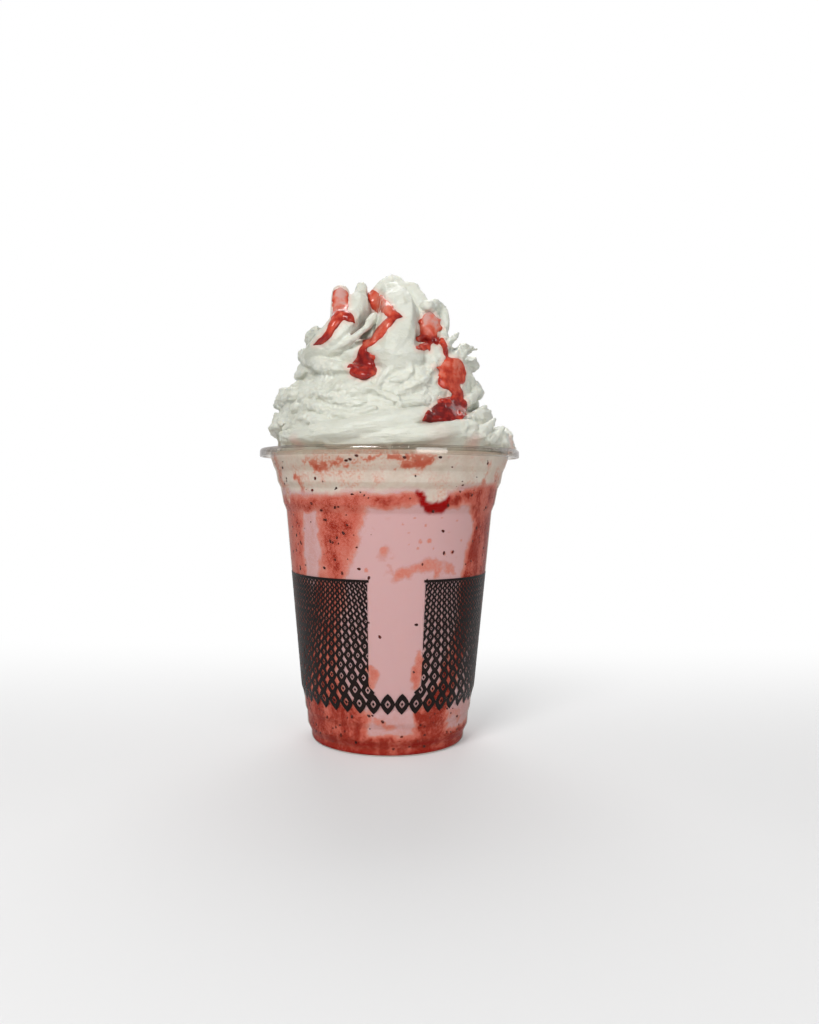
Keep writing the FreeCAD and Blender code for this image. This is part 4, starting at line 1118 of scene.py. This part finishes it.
def seenDirectly(tree):
    # 1 for a ray from the eye, off gloss or through the cup; the lamps' light still falls on the paint.
    rays = addNode(tree, "LightPath")
    seen = addNode(tree, "Math", {"operation": "ADD", "use_clamp": True},
                   {0: rays.outputs["Is Camera Ray"], 1: rays.outputs["Is Glossy Ray"]})
    return addNode(tree, "Math", {"operation": "ADD", "use_clamp": True},
                   {0: seen, 1: rays.outputs["Is Transmission Ray"]})


floorPaint, tree = startMaterial("matteStudioFloor")
place = addNode(tree, "TexCoord").outputs["Object"]
behind = addNode(tree, "SeparateXYZ", {}, {"Vector": place}).outputs["Y"]
fadeBack = addNode(tree, "MapRange", {"From Min": studio["fadeFrom"], "From Max": studio["fadeTo"],
                   "interpolation_type": "SMOOTHSTEP"}, {"Value": behind})
far = addNode(tree, "VectorMath", {"operation": "LENGTH"}, {0: place}).outputs["Value"]
fadeFar = addNode(tree, "MapRange", {"From Min": studio["farFrom"], "From Max": studio["farTo"],
                  "interpolation_type": "SMOOTHSTEP"}, {"Value": far})
fade = addNode(tree, "Math", {"operation": "MAXIMUM"}, {0: fadeBack, 1: fadeFar})
whiten = addNode(tree, "Math", {"operation": "MULTIPLY"}, {0: fade, 1: seenDirectly(tree)})
matte = addNode(tree, "BsdfDiffuse", {"Color": studio["floor"]})
glow = addNode(tree, "Emission", {"Color": "#ffffff", "Strength": 1.0})
floorMix = addNode(tree, "MixShader", {}, {0: whiten, 1: matte, 2: glow})
addNode(tree, "OutputMaterial", {}, {"Surface": floorMix})
floor = newPiece("studioFloor", [(-3, -3, 0), (3, -3, 0), (3, 3, 0), (-3, 3, 0)], [(0, 1, 2, 3)], floorPaint)

backPaper, tree = startMaterial("whiteBackgroundPaper")
paper = addNode(tree, "BsdfDiffuse", {"Color": studio["paper"]})
glow = addNode(tree, "Emission", {"Color": "#ffffff", "Strength": 1.0})
paperMix = addNode(tree, "MixShader", {}, {0: seenDirectly(tree), 1: paper, 2: glow})
addNode(tree, "OutputMaterial", {}, {"Surface": paperMix})
backdrop = newPiece("studioBackdrop", [(-3, 2.9, -0.1), (3, 2.9, -0.1), (3, 2.9, 4), (-3, 2.9, 4)],
                    [(0, 1, 2, 3)], backPaper)

world = bpy.data.worlds.new("studioAir")
scene.world = world
world.use_nodes = True
tree = world.node_tree
tree.nodes.clear()
rays = addNode(tree, "LightPath")
dim = addNode(tree, "Background", {"Color": "#ffffff", "Strength": studio["sky"]})
bright = addNode(tree, "Background", {"Color": "#ffffff", "Strength": 1.0})
airMix = addNode(tree, "MixShader", {}, {0: rays.outputs["Is Camera Ray"], 1: dim, 2: bright})
addNode(tree, "OutputWorld", {}, {"Surface": airMix})

for name in ("key", "fill", "top"):
    lamp = bpy.data.lights.new(name, "AREA")
    lamp.energy, lamp.size = studio[name + "Power"], studio[name + "Size"]
    lampObject = bpy.data.objects.new(name, lamp)
    lampObject.location = studio[name]
    aim = Vector((0, 0, 0.1)) - lampObject.location
    lampObject.rotation_euler = aim.to_track_quat("-Z", "Y").to_euler()
    scene.collection.objects.link(lampObject)

scene.view_settings.view_transform = "Standard"
print("light finished")
